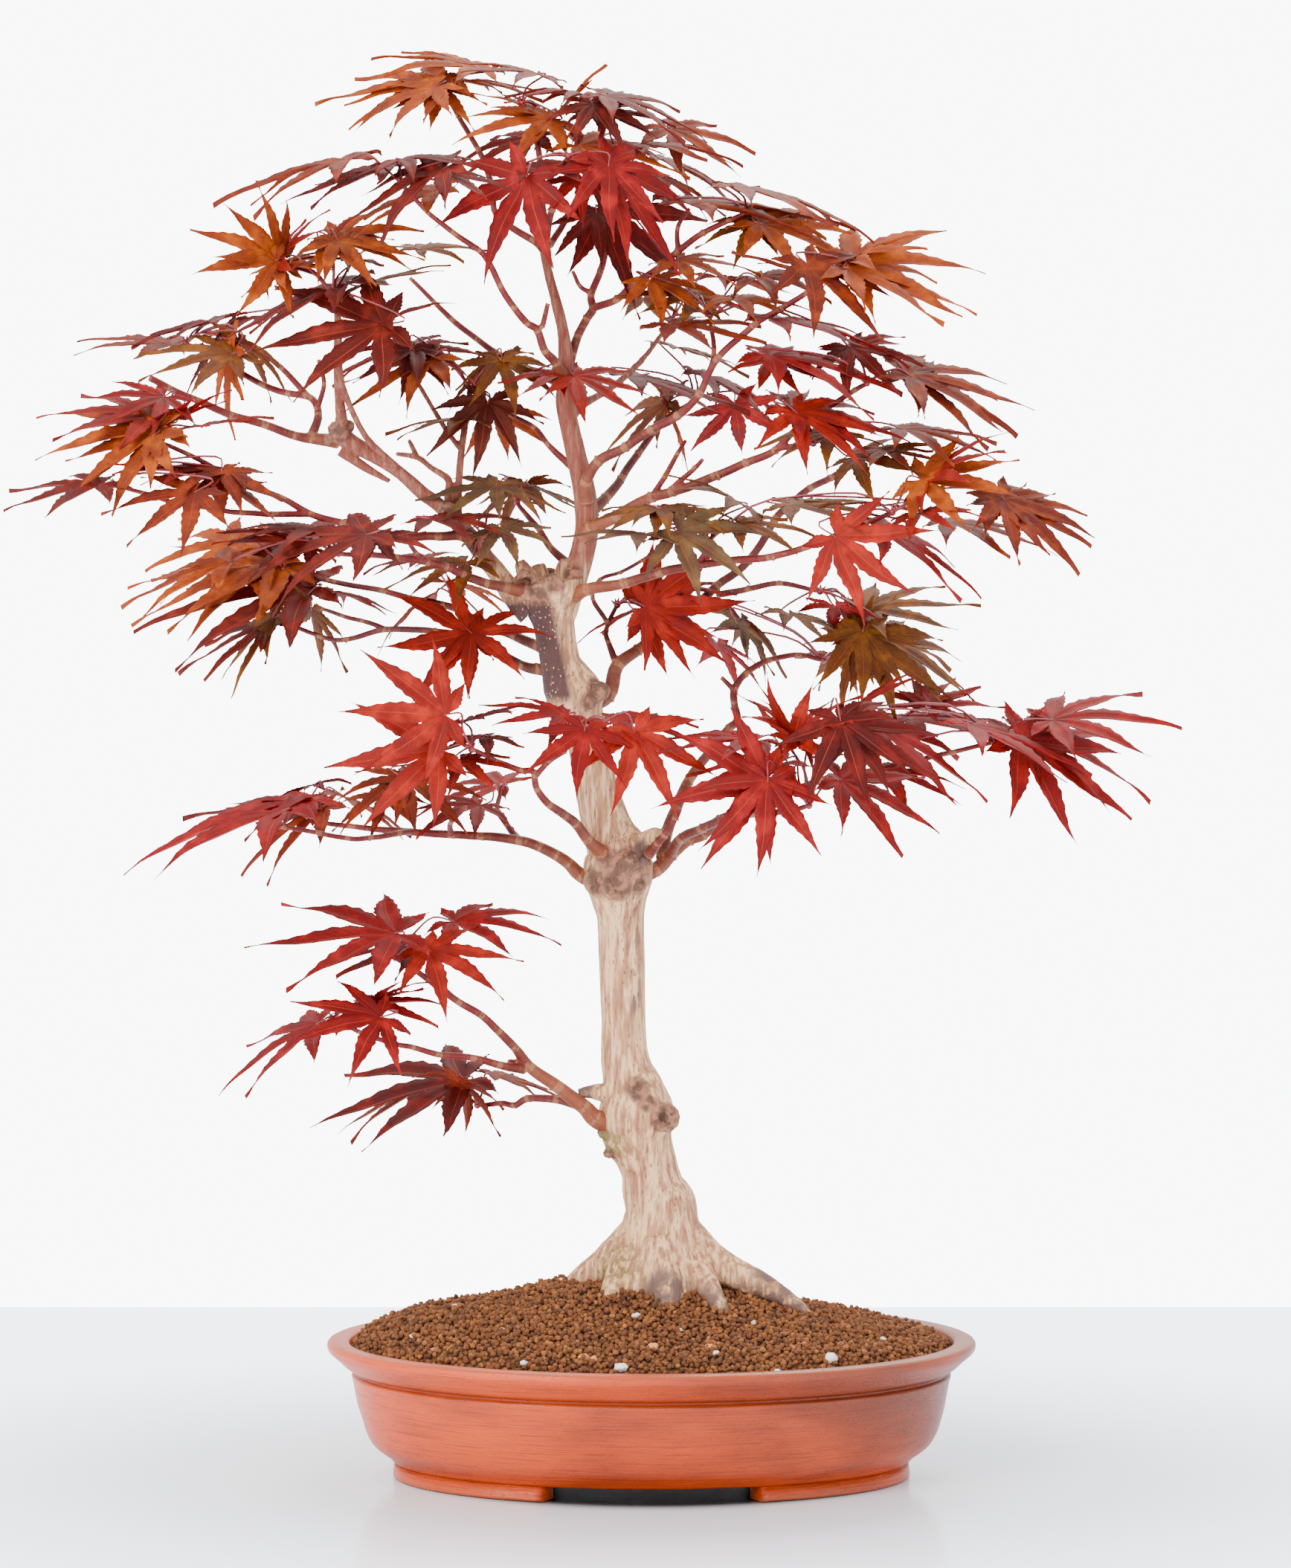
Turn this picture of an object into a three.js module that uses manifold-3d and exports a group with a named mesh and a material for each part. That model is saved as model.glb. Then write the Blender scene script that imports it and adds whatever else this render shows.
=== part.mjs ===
// A maple bonsai in an oval unglazed pot: pot, soil, drainage screens, trunk, limb, branches
// and shoots of leaves. Millimetres, +Z up, standing on Z = 0, its box centred on the Z axis.
import * as THREE from "three";
import { mergeVertices } from "three/addons/utils/BufferGeometryUtils.js";
import Module from "manifold-3d";

const wasm = await Module();
wasm.setup();

// ---------------------------------------------------------------- driving dimensions
const GAP = 0.3; // clearance between pieces that touch
const ROUND_STEPS = 32; // facets round the pot's oval

const POT = {
  waist: 62, // how much shorter the oval's half depth is than its half length
  core: 140, // inside this half length the oval shrinks in proportion
  floorZ: 8.5,
  insideFloorZ: 17,
  footOuter: 152,
  footInner: 136,
  footGapLow: 60, // half width of the gap between the two feet, at the table
  footGapHigh: 57, // and where it meets the body
  holeX: 85,
  holeRadius: 11,
};
// The wall's outside from the base up, over the rim, and down the inside: [half length, height].
const POT_PROFILE = [
  [0, 8.5], [150.5, 8.5], [155, 13], [162, 18], [166, 23], [171.3, 38], [174, 50], [176, 60],
  [173.5, 61.5], [174.5, 63.5], [178, 64.5], [184, 70], [190.5, 77], [188.5, 81], [184, 81.5],
  [178, 80.5], [177, 79], [170, 60], [165, 40], [158, 26], [146, 17], [0, 17],
];

const SCREEN = { radius: 16, thick: 0.8 };

const SOIL = {
  edge: [[0, 17.3], [145.2, 17.3], [157.2, 26.3], [169.4, 60], [175.8, 77]],
  mound: [[168, 84], [140, 93], [100, 101], [55, 113], [0, 117]],
  lean: 4.5, // the mound stands this much higher on the left than in the middle
};

// The plant is drawn on a front elevation: x from the pot's middle, height above the drawing's
// datum, and a depth, positive away from the viewer. place() sets a point at its depth along the
// line from the viewer's eye, so that the elevation stays true in perspective.
const DRAWING = { datum: 10, eyeX: -3.5, eyeHeight: 629, eyeDistance: 3200 };

const DEPTH_SPREAD = 1.4; // the drawing's depths are multiplied by this

const BLADE_THICK = 0.6;
const PETIOLE_RADIUS = 0.8;
const BUD_RADIUS = 2.6;
const ADULT_LEAF = 56; // usual length of a blade
const DEPTH_TRIES = [0, -7, 7, -14, 14, -21, 21, -28, 28]; // where a leaf may move to stay clear

// ---------------------------------------------------------------- finishes
function finish(colour, roughness) {
  return new THREE.MeshStandardMaterial({ color: colour, roughness, metalness: 0 });
}
const TERRACOTTA = finish(0xc8773f, 0.62);
const AKADAMA = finish(0x5d3c26, 0.95);
const SCREEN_PLASTIC = finish(0x2c2f2c, 0.5);
const BARK = finish(0xcdb596, 0.85);
const YOUNG_BARK = finish(0x7a3a30, 0.6);
const LEAF = finish(0x93402f, 0.6);

// ---------------------------------------------------------------- the wood
// A route's points are [x, height, depth, thickness].
const TRUNK = [
  [4, 100, 0, 66], [6, 128, 0, 64], [6, 140, 0, 58], [6, 150, 0, 47], [6, 170, 0, 42.5],
  [1, 190, 0, 35], [-7, 210, 0, 39], [-10, 225, 0, 42], [-12, 240, 0, 36], [-15, 255, 0, 28],
  [-17, 300, 0, 27], [-18, 340, 0, 28], [-19, 358, 0, 39], [-19.5, 372, 0, 41],
  [-23, 385, 0, 32], [-28, 400, 0, 28], [-33, 420, 0, 25], [-39, 445, 0, 26], [-44, 466, 0, 34],
  [-50, 480, 0, 26], [-56, 505, 0, 23], [-58, 522, 0, 36], [-61, 536, 0, 44],
];
const LEADER = [
  [-54, 524, 0, 22], [-44, 540, 0, 15], [-38, 565, 0, 14], [-39.5, 590, 0, 13],
  [-44, 610, 0, 12], [-50, 640, 0, 11], [-50, 670, 0, 8.5], [-56, 700, 0, 6], [-62, 727, 0, 5.5],
];
const ROOTS = [
  [[-8, 150, 0, 26], [-30, 138, 0, 24], [-52, 124, 4, 18], [-66, 108, 6, 10]],
  [[14, 158, 0, 26], [38, 138, -6, 22], [66, 127, -10, 17], [86, 118, -12, 12], [102, 104, -12, 7]],
  [[4, 150, -8, 24], [8, 130, -24, 22], [10, 106, -38, 14]],
  [[0, 150, 8, 24], [-6, 132, 26, 20], [-10, 108, 40, 12]],
];
const HIGH_BACK_SHOOT = [
  [-46, 632, 2, 6], [-25, 647, 20, 4], [-5, 665, 45, 3.6], [12, 688, 60, 3],
];
const LIMB = [
  [-72, 520, 0, 16], [-83, 532, 0, 13], [-95, 548, 0, 11], [-112, 568, 0, 9.5], [-132, 587, 0, 8],
  [-155, 606, 0, 8], [-175, 617, 0, 10], [-183, 623, 0, 11],
];
const LIMB_SPURS = [
  [[-117, 576, 2, 6], [-119, 596, 8, 4], [-136, 608, 24, 3.4], [-148, 610, 34, 3]],
  [[-113, 572, 2, 6], [-110, 612, 10, 4.4], [-107, 634, 16, 4], [-105, 648, 20, 3.2]],
  [[-180, 622, -2, 8], [-182, 661, -20, 5], [-182, 690, -28, 4], [-185, 702, -30, 3.4]],
];

// Each branch: its routes, and the shoots at the ends of its twigs. A leaf's row is
// [base x, base height, tip x, tip height, depth from the bud, how far it faces the viewer].
const BRANCHES = [
  {
    name: "branch_low_left",
    routes: [
      [[-22, 220, -4, 13], [-40, 228, -8, 10], [-72, 252, -16, 7], [-100, 282, -30, 5],
        [-125, 299, -38, 4], [-150, 316, -45, 3]],
      [[-74, 250, -18, 6], [-105, 257, -36, 4.4], [-150, 265, -54, 3.8], [-186, 280, -60, 3]],
      [[-42, 229, -8, 6], [-80, 229, 14, 4], [-102, 229, 25, 3]],
    ],
    shoots: [
      { name: "leaves_low_left_upper", at: [-150, 316, -45], leaves: [
        [-149, 330, -227, 327, -4, 0.5], [-116, 337, -65, 334, 20, 0.45],
        [-130, 320, -95, 302, -8, 0.6]] },
      { name: "leaves_low_left_tip", at: [-186, 280, -60], leaves: [
        [-195, 277, -248, 249, -6, 0.4], [-158, 281, -196, 272, -16, 0.7],
        [-170, 287, -133, 286, 8, 0.4]] },
      { name: "leaves_low_left_back", at: [-102, 229, 25], leaves: [
        [-110, 244, -187, 226, 4, 0.5], [-130, 240, -180, 223, 20, 0.3],
        [-92, 246, -60, 241, 10, 0.3]] },
    ],
  },
  {
    name: "branch_left_first",
    routes: [
      [[-28, 360, 0, 11], [-48, 371, 0, 8], [-77, 385, 0, 6.5], [-117, 388, 0, 5],
        [-145, 390, 0, 4.4], [-175, 393, 6, 3.6], [-200, 398, 10, 3]],
      [[-140, 390, 0, 4.4], [-178, 386, -34, 3.4], [-225, 395, -55, 3]],
      [[-77, 385, 0, 5], [-90, 403, 14, 3.4], [-88, 415, 25, 3]],
    ],
    shoots: [
      { name: "leaves_left_first_tip", at: [-200, 398, 10], leaves: [
        [-190, 404, -240, 376, 4, 0.4], [-197, 417, -215, 412, 16, 0.5],
        [-180, 410, -150, 395, 26, 0.4]] },
      { name: "leaves_left_first_low", at: [-225, 395, -55], leaves: [
        [-215, 402, -298, 386, -6, 0.35]] },
      { name: "leaves_left_first_inner", at: [-88, 415, 25], leaves: [
        [-87, 417, -125, 420, 8, 0.5], [-100, 405, -128, 397, -22, 0.5]] },
    ],
  },
  {
    name: "branch_left_front",
    routes: [
      [[-26, 376, -10, 10], [-45, 395, -26, 6.5], [-60, 406, -40, 5], [-69, 425, -50, 4],
        [-90, 431, -60, 3.6], [-105, 438, -66, 3]],
      [[-68, 422, -50, 4], [-51, 437, -52, 3]],
    ],
    shoots: [
      { name: "leaves_left_front_tip", at: [-105, 438, -66], leaves: [
        [-120, 458, -175, 453, -12, 0.9], [-123, 438, -179, 431, -4, 0.8],
        [-97, 445, -120, 440, 18, 0.4]] },
      { name: "leaves_left_front_trunk", at: [-51, 437, -52], leaves: [
        [-39, 449, -42, 420, -14, 0.9], [-50, 458, -83, 457, 10, 0.5],
        [-10, 448, 12, 410, -10, 0.8], [-25, 455, 17, 450, 12, 0.4]] },
    ],
  },
  {
    name: "branch_left_back_low",
    routes: [
      [[-53, 484, 4, 9], [-90, 495, 14, 5.5], [-125, 507, 26, 4.6], [-155, 508, 34, 4],
        [-193, 504, 44, 3.4], [-212, 512, 50, 3]],
    ],
    shoots: [
      { name: "leaves_left_back_low_tip", at: [-212, 512, 50], leaves: [
        [-218, 515, -250, 485, 4, 0.6], [-200, 532, -290, 520, 12, 0.5]] },
    ],
  },
  {
    name: "branch_left_back",
    routes: [
      [[-56, 494, 6, 9], [-100, 512, 24, 6], [-140, 526, 44, 5], [-186, 536, 60, 3.8],
        [-214, 543, 70, 3]],
      [[-112, 516, 30, 4], [-116, 528, 34, 3]],
    ],
    shoots: [
      { name: "leaves_left_back_tip", at: [-214, 543, 70], leaves: [
        [-214, 547, -300, 541, 6, 0.55], [-190, 565, -250, 551, 16, 0.4]] },
      { name: "leaves_left_back_inner", at: [-116, 528, 34], leaves: [
        [-125, 530, -152, 512, 4, 0.5], [-118, 535, -90, 527, 8, 0.4],
        [-105, 505, -150, 500, -38, 0.8]] },
    ],
  },
  {
    name: "branch_left_middle",
    routes: [
      [[-66, 528, -6, 9], [-97, 535, -16, 6], [-131, 547, -30, 5], [-165, 551, -48, 4],
        [-182, 552, -60, 3]],
    ],
    shoots: [
      { name: "leaves_left_middle", at: [-182, 552, -60], leaves: [
        [-165, 563, -232, 548, -10, 0.5], [-200, 556, -242, 562, 8, 0.5]] },
    ],
  },
  {
    name: "branch_limb_low",
    routes: [
      [[-104, 560, -4, 7], [-125, 562, -12, 5.5], [-165, 566, -28, 4.8], [-198, 575, -38, 4.4],
        [-232, 591, -44, 4], [-270, 610, -48, 3.4], [-288, 618, -50, 3]],
      [[-198, 575, -38, 4], [-238, 576, -54, 3.6], [-275, 581, -62, 3.2], [-312, 592, -70, 3]],
    ],
    shoots: [
      { name: "leaves_limb_low_upper", at: [-288, 618, -50], leaves: [
        [-285, 625, -350, 614, -6, 0.6], [-283, 643, -310, 633, 10, 0.6]] },
      { name: "leaves_limb_low_tip", at: [-312, 592, -70], leaves: [
        [-320, 592, -368, 583, -4, 0.35], [-265, 588, -298, 568, -12, 0.6],
        [-268, 598, -302, 604, 16, 0.4]] },
    ],
  },
  {
    name: "branch_limb_tip",
    routes: [
      [[-186, 618, 2, 8], [-225, 627, -8, 5.4], [-265, 641, -16, 4.6], [-292, 654, -20, 4]],
      [[-202, 621, -2, 6], [-200, 640, 14, 4.6], [-225, 650, 26, 4.2], [-270, 674, 44, 3]],
    ],
    shoots: [
      { name: "leaves_limb_tip", at: [-270, 674, 44], leaves: [
        [-278, 673, -329, 681, 4, 0.35], [-253, 687, -288, 681, -6, 0.5],
        [-243, 668, -287, 662, -30, 0.6], [-225, 690, -250, 683, 6, 0.4]] },
    ],
  },
  {
    name: "branch_leader_left",
    routes: [
      [[-50, 655, -2, 7], [-66, 682, -18, 5], [-88, 708, -30, 4.2], [-100, 728, -38, 4],
        [-130, 750, -52, 3.4], [-145, 766, -60, 3]],
    ],
    shoots: [
      { name: "leaves_leader_left", at: [-145, 766, -60], leaves: [
        [-145, 780, -112, 782, 0, 0.4], [-175, 780, -242, 765, -6, 0.35],
        [-120, 775, -173, 752, -14, 0.5], [-125, 762, -180, 745, 18, 0.4]] },
    ],
  },
  {
    name: "branch_top_left",
    routes: [
      [[-64, 732, 3, 4.6], [-90, 748, 10, 4], [-100, 785, 16, 3.6], [-120, 819, 20, 3]],
    ],
    shoots: [
      { name: "leaves_top_left", at: [-120, 819, 20], leaves: [
        [-100, 830, -155, 844, 8, 0.4], [-120, 824, -187, 818, -6, 0.5]] },
    ],
  },
  {
    name: "branch_apex",
    routes: [
      [[-60, 731, -2, 5], [-65, 780, -2, 4], [-75, 813, 0, 3]],
      [[-61, 738, -3, 4], [-48, 772, -14, 3.6], [-38, 813, -24, 3]],
      [[-61, 742, -4, 4], [-62, 762, -30, 3.4], [-48, 782, -52, 3]],
    ],
    shoots: [
      { name: "leaves_apex", at: [-75, 813, 0], leaves: [
        [-66, 829, -100, 834, 6, 0.4], [-58, 803, -102, 800, -8, 0.6],
        [-68, 793, -108, 775, 10, 0.4]] },
      { name: "leaves_apex_right", at: [-38, 813, -24], leaves: [
        [-28, 817, 28, 804, -4, 0.4], [-10, 788, 45, 790, 10, 0.3],
        [10, 798, 48, 780, 26, 0.4]] },
      { name: "leaves_apex_front", at: [-48, 782, -52], leaves: [
        [-72, 771, -97, 720, -6, 0.8], [-25, 777, -22, 745, -8, 0.85]] },
    ],
  },
  {
    name: "branch_second_leader",
    routes: [
      [[-48, 664, 4, 6], [-43, 678, 6, 5], [-34, 695, 8, 4.6], [-27, 730, 10, 3.6],
        [-30, 750, 10, 3]],
      [[-35, 694, 8, 5], [-8, 710, -10, 4.4], [15, 727, -20, 4], [30, 738, -28, 3.6],
        [55, 750, -40, 3]],
    ],
    shoots: [
      { name: "leaves_second_leader", at: [-30, 750, 10], leaves: [
        [-30, 752, 20, 715, -6, 0.7], [5, 780, 50, 765, 10, 0.4]] },
      { name: "leaves_right_top", at: [55, 750, -40], leaves: [
        [20, 755, 100, 748, 10, 0.3], [63, 743, 110, 727, -6, 0.5],
        [50, 764, 115, 752, -14, 0.3]] },
    ],
  },
  {
    name: "branch_right_high",
    routes: [
      [[-38, 582, -4, 8], [-31, 607, -12, 6.6], [0, 624, -24, 5.6], [28, 645, -36, 5],
        [60, 685, -46, 4.2], [90, 703, -54, 3.6], [112, 720, -60, 3]],
      [[28, 645, -36, 4], [36, 668, -34, 3.4], [34, 690, -30, 3]],
    ],
    shoots: [
      { name: "leaves_right_high_tip", at: [112, 720, -60], leaves: [
        [113, 720, 182, 722, 4, 0.6], [90, 720, 125, 688, -12, 0.6]] },
      { name: "leaves_right_high_inner", at: [34, 690, -30], leaves: [
        [12, 685, 60, 678, -10, 0.4], [48, 700, 82, 693, 0, 0.4], [70, 688, 137, 680, -20, 0.3],
        [62, 712, 95, 708, 8, 0.4], [0, 710, 30, 696, 12, 0.5]] },
    ],
  },
  {
    name: "branch_right_back",
    routes: [
      [[-36, 578, 4, 8], [-18, 595, 24, 5.6], [3, 625, 52, 4.4], [25, 641, 80, 3]],
    ],
    shoots: [
      { name: "leaves_right_back", at: [25, 641, 80], leaves: [
        [30, 655, 88, 633, 6, 0.3], [10, 640, -30, 617, -8, 0.6], [48, 640, 53, 610, -4, 0.7],
        [12, 672, 45, 665, 10, 0.4]] },
    ],
  },
  {
    name: "branch_right_long",
    routes: [
      [[-40, 561, -4, 9], [-20, 574, -12, 7.6], [12, 588, -20, 6.4], [38, 597, -26, 5.6],
        [72, 612, -34, 5], [100, 635, -42, 4], [125, 651, -50, 3]],
      [[74, 613, -34, 4], [94, 616, -44, 3]],
    ],
    shoots: [
      { name: "leaves_right_long_tip", at: [125, 651, -50], leaves: [
        [68, 667, 137, 655, -6, 0.4], [148, 656, 213, 642, 4, 0.5],
        [115, 672, 138, 655, 14, 0.6]] },
      { name: "leaves_right_long_inner", at: [94, 616, -44], leaves: [
        [80, 637, 140, 624, -12, 0.5], [105, 622, 78, 615, -6, 0.4], [145, 624, 193, 616, 8, 0.3],
        [118, 608, 150, 605, 4, 0.6]] },
    ],
  },
  {
    name: "branch_right_middle",
    routes: [
      [[-46, 527, -6, 9], [-15, 535, -18, 6.6], [25, 545, -34, 5.6], [70, 550, -48, 4.6],
        [110, 564, -58, 3.8], [140, 576, -66, 3]],
      [[26, 545, -34, 4.4], [34, 560, -40, 3]],
    ],
    shoots: [
      { name: "leaves_right_middle_tip", at: [140, 576, -66], leaves: [
        [107, 562, 145, 535, -14, 0.9], [130, 567, 188, 541, 6, 0.4],
        [157, 595, 203, 589, 6, 0.7], [172, 570, 225, 563, 22, 0.3]] },
      { name: "leaves_right_middle_inner", at: [34, 560, -40], leaves: [
        [5, 578, 35, 573, 6, 0.4], [50, 582, 25, 595, 10, 0.6], [15, 565, 50, 545, -12, 0.7],
        [-5, 563, -32, 562, -6, 0.4]] },
    ],
  },
  {
    name: "branch_right_long_back",
    routes: [
      [[-43, 462, 6, 11], [-20, 487, 18, 8], [5, 507, 32, 6.6], [38, 533, 48, 5.6],
        [72, 572, 58, 5], [104, 596, 66, 4.6], [118, 604, 70, 4.4]],
      [[-20, 488, 20, 5], [-26, 508, 28, 3.4], [-20, 522, 34, 3]],
      [[38, 528, 46, 4.4], [75, 535, 34, 3.4], [98, 530, 24, 3]],
    ],
    shoots: [
      { name: "leaves_right_long_back_inner", at: [-20, 522, 34], leaves: [
        [-5, 520, 50, 525, -10, 0.9], [0, 530, 35, 536, 8, 0.4]] },
      { name: "leaves_right_long_back_low", at: [98, 530, 24], leaves: [
        [107, 521, 127, 505, -6, 0.4], [125, 520, 182, 524, 4, 0.5],
        [122, 505, 168, 474, -8, 0.7], [80, 517, 98, 507, 8, 0.4]] },
    ],
  },
  {
    name: "branch_right_low",
    routes: [
      [[-16, 362, 0, 13], [12, 377, 4, 8], [30, 388, 4, 6.6], [60, 403, 2, 5.4], [100, 420, 2, 4.4],
        [150, 430, 8, 3.8], [200, 442, 18, 3]],
      [[6, 374, 4, 8], [14, 398, 16, 7.6], [20, 428, 34, 7], [45, 450, 42, 5.6],
        [55, 482, 50, 4.4], [85, 493, 56, 3.6], [100, 490, 60, 3]],
      [[10, 376, 4, 7], [26, 388, -20, 6.4], [50, 398, -50, 5], [80, 402, -72, 4],
        [92, 405, -80, 3]],
    ],
    shoots: [
      { name: "leaves_right_low_back", at: [100, 490, 60], leaves: [
        [135, 503, 185, 475, 4, 0.4], [50, 512, 57, 493, -6, 0.6], [38, 500, 52, 480, 8, 0.5]] },
      { name: "leaves_right_low_front", at: [92, 405, -80], leaves: [
        [83, 445, 89, 466, -4, 0.9], [67, 420, 10, 407, -8, 0.85], [60, 443, 15, 441, 16, 0.4],
        [110, 420, 162, 399, 4, 0.6], [110, 455, 125, 415, -16, 0.7]] },
      { name: "leaves_right_low_tip", at: [200, 442, 18], leaves: [
        [215, 443, 275, 405, -4, 0.6], [233, 455, 296, 460, 6, 0.5],
        [185, 452, 250, 430, -16, 0.3], [162, 462, 187, 475, 6, 0.6],
        [150, 455, 210, 453, 22, 0.3]] },
    ],
  },
];
// Shoots on the limb's own spurs.
const LIMB_SHOOTS = [
  { name: "leaves_limb_spur_inner", at: [-105, 648, 20], leaves: [
    [-140, 673, -175, 663, 10, 0.5], [-128, 665, -170, 645, -14, 0.5],
    [-87, 665, -80, 640, -6, 0.7], [-90, 635, -84, 612, 8, 0.6], [-110, 630, -140, 627, -8, 0.3]] },
  { name: "leaves_limb_spur_top", at: [-185, 702, -30], leaves: [
    [-178, 708, -248, 683, 8, 0.35], [-155, 685, -222, 673, -12, 0.7],
    [-217, 722, -255, 717, 0, 0.8], [-185, 735, -140, 728, 4, 0.6],
    [-165, 708, -130, 718, 14, 0.4]] },
];

// ---------------------------------------------------------------- solids
function solidOf(geometry) {
  const bare = geometry.index ? geometry.toNonIndexed() : geometry;
  bare.deleteAttribute("normal");
  bare.deleteAttribute("uv");
  const merged = mergeVertices(bare, 1e-4);
  return new wasm.Manifold(new wasm.Mesh({
    numProp: 3,
    vertProperties: new Float32Array(merged.attributes.position.array),
    triVerts: new Uint32Array(merged.index.array),
  }));
}

function geometryOf(solid) {
  const mesh = solid.getMesh();
  const geometry = new THREE.BufferGeometry();
  geometry.setAttribute("position", new THREE.BufferAttribute(mesh.vertProperties, 3));
  geometry.setIndex(new THREE.BufferAttribute(mesh.triVerts, 1));
  return geometry;
}

function union(solids) {
  return solids.reduce((sum, solid) => sum.add(solid));
}

function boxOf(solid) {
  const { min, max } = solid.boundingBox();
  return new THREE.Box3(new THREE.Vector3(...min), new THREE.Vector3(...max));
}

function moveVertices(geometry, move) {
  const position = geometry.attributes.position;
  const point = new THREE.Vector3();
  for (let i = 0; i < position.count; i += 1) {
    point.fromBufferAttribute(position, i);
    move(point);
    position.setXYZ(i, point.x, point.y, point.z);
  }
  return geometry;
}

// ---------------------------------------------------------------- pot, soil and screens
function ovalise(point) {
  const reach = Math.hypot(point.x, point.y);
  const held = Math.max(reach, POT.core);
  point.y *= (held - POT.waist) / held;
}

function ovalTurning(profile) {
  const points = profile.map(([reach, height]) => new THREE.Vector2(reach, height));
  const geometry = new THREE.LatheGeometry(points, ROUND_STEPS);
  geometry.rotateX(Math.PI / 2);
  return moveVertices(geometry, ovalise);
}

function uprightCylinder(radius, lowZ, highZ, x, sides) {
  const geometry = new THREE.CylinderGeometry(radius, radius, highZ - lowZ, sides);
  geometry.rotateX(Math.PI / 2);
  geometry.translate(x, 0, (lowZ + highZ) / 2);
  return solidOf(geometry);
}

function footGap() {
  const half = new THREE.Shape();
  half.moveTo(-POT.footGapLow, -1);
  half.lineTo(POT.footGapLow, -1);
  half.lineTo(POT.footGapHigh, POT.floorZ + 1);
  half.lineTo(-POT.footGapHigh, POT.floorZ + 1);
  half.closePath();
  const length = 2 * POT.footOuter;
  const geometry = new THREE.ExtrudeGeometry(half, { depth: length, bevelEnabled: false });
  geometry.rotateX(Math.PI / 2);
  geometry.translate(0, length / 2, 0);
  return solidOf(geometry);
}

function potSolid() {
  const bury = POT.floorZ + 0.5;
  const ring = solidOf(ovalTurning([
    [POT.footInner, 0], [POT.footOuter, 0], [POT.footOuter - 2, bury], [POT.footInner, bury],
    [POT.footInner, 0],
  ]));
  let pot = solidOf(ovalTurning(POT_PROFILE)).add(ring.subtract(footGap()));
  for (const side of [-1, 1]) {
    const x = side * POT.holeX;
    pot = pot.subtract(uprightCylinder(POT.holeRadius, 0, POT.insideFloorZ + 1, x, 20));
  }
  return pot;
}

function screenSolid(side, grow) {
  const low = POT.insideFloorZ + GAP - grow;
  const high = POT.insideFloorZ + GAP + SCREEN.thick + grow;
  return uprightCylinder(SCREEN.radius + grow, low, high, side * POT.holeX, 16);
}

function soilSolid(cutters) {
  const geometry = ovalTurning([...SOIL.edge, ...SOIL.mound]);
  moveVertices(geometry, (point) => {
    const reach = Math.hypot(point.x, point.y);
    if (point.z > SOIL.mound[0][1] - 1) {
      point.z -= SOIL.lean * (point.x / Math.max(reach, 1)) * Math.min(1, reach / POT.core);
    }
  });
  return cutters.reduce((soil, cutter) => soil.subtract(cutter), solidOf(geometry));
}

// ---------------------------------------------------------------- wood
function place([x, height, depth]) {
  const scale = (DRAWING.eyeDistance + depth) / DRAWING.eyeDistance;
  return new THREE.Vector3(
    DRAWING.eyeX + (x - DRAWING.eyeX) * scale,
    depth,
    DRAWING.eyeHeight + (height - DRAWING.datum - DRAWING.eyeHeight) * scale,
  );
}

function deepen([x, height, depth]) {
  return [x, height, depth * DEPTH_SPREAD];
}

// A round bar of changing thickness along a route: a straight bar bent onto the route's curve.
function limbSolid(route, sides, grow = 0) {
  const curve = new THREE.CatmullRomCurve3(route.map(deepen).map(place));
  const spans = route.length - 1;
  const geometry = new THREE.CylinderGeometry(1, 1, 1, sides, spans);
  moveVertices(geometry, (point) => {
    const along = 0.5 - point.y;
    const span = Math.min(Math.floor(along * spans), spans - 1);
    const part = along * spans - span;
    const thick = THREE.MathUtils.lerp(route[span][3], route[span + 1][3], part);
    const tangent = curve.getTangent(along);
    const across = new THREE.Vector3(0, 1, 0).addScaledVector(tangent, -tangent.y).normalize();
    const beside = new THREE.Vector3().crossVectors(tangent, across);
    const { x, z } = point;
    const radius = thick / 2 + grow;
    point.copy(curve.getPoint(along)).addScaledVector(across, x * radius);
    point.addScaledVector(beside, z * radius);
  });
  return solidOf(geometry);
}

function sidesFor(route) {
  const thickest = Math.max(...route.map((point) => point[3]));
  if (thickest > 20) return 10;
  return thickest > 5 ? 5 : 4;
}

function woodSolid(routes, grow = 0) {
  return union(routes.map((route) => limbSolid(route, sidesFor(route), grow)));
}

// ---------------------------------------------------------------- leaves
// A blade of five pointed lobes, its midrib along +X from the petiole, one unit long.
function bladeShape() {
  const lobes = [[0, 1], [38, 0.9], [80, 0.62]]; // angle from the midrib, reach
  const clefts = [[19, 0.42], [59, 0.35]];
  const half = [lobes[0], clefts[0], lobes[1], clefts[1], lobes[2]];
  const corner = ([degrees, reach], side) => {
    const angle = THREE.MathUtils.degToRad(degrees);
    return new THREE.Vector2(Math.cos(angle) * reach, Math.sin(angle) * reach * side);
  };
  const left = half.map((point) => corner(point, 1));
  const right = half.slice(1).map((point) => corner(point, -1)).reverse();
  return new THREE.Shape([...left, new THREE.Vector2(-0.05, 0), ...right]);
}

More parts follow.
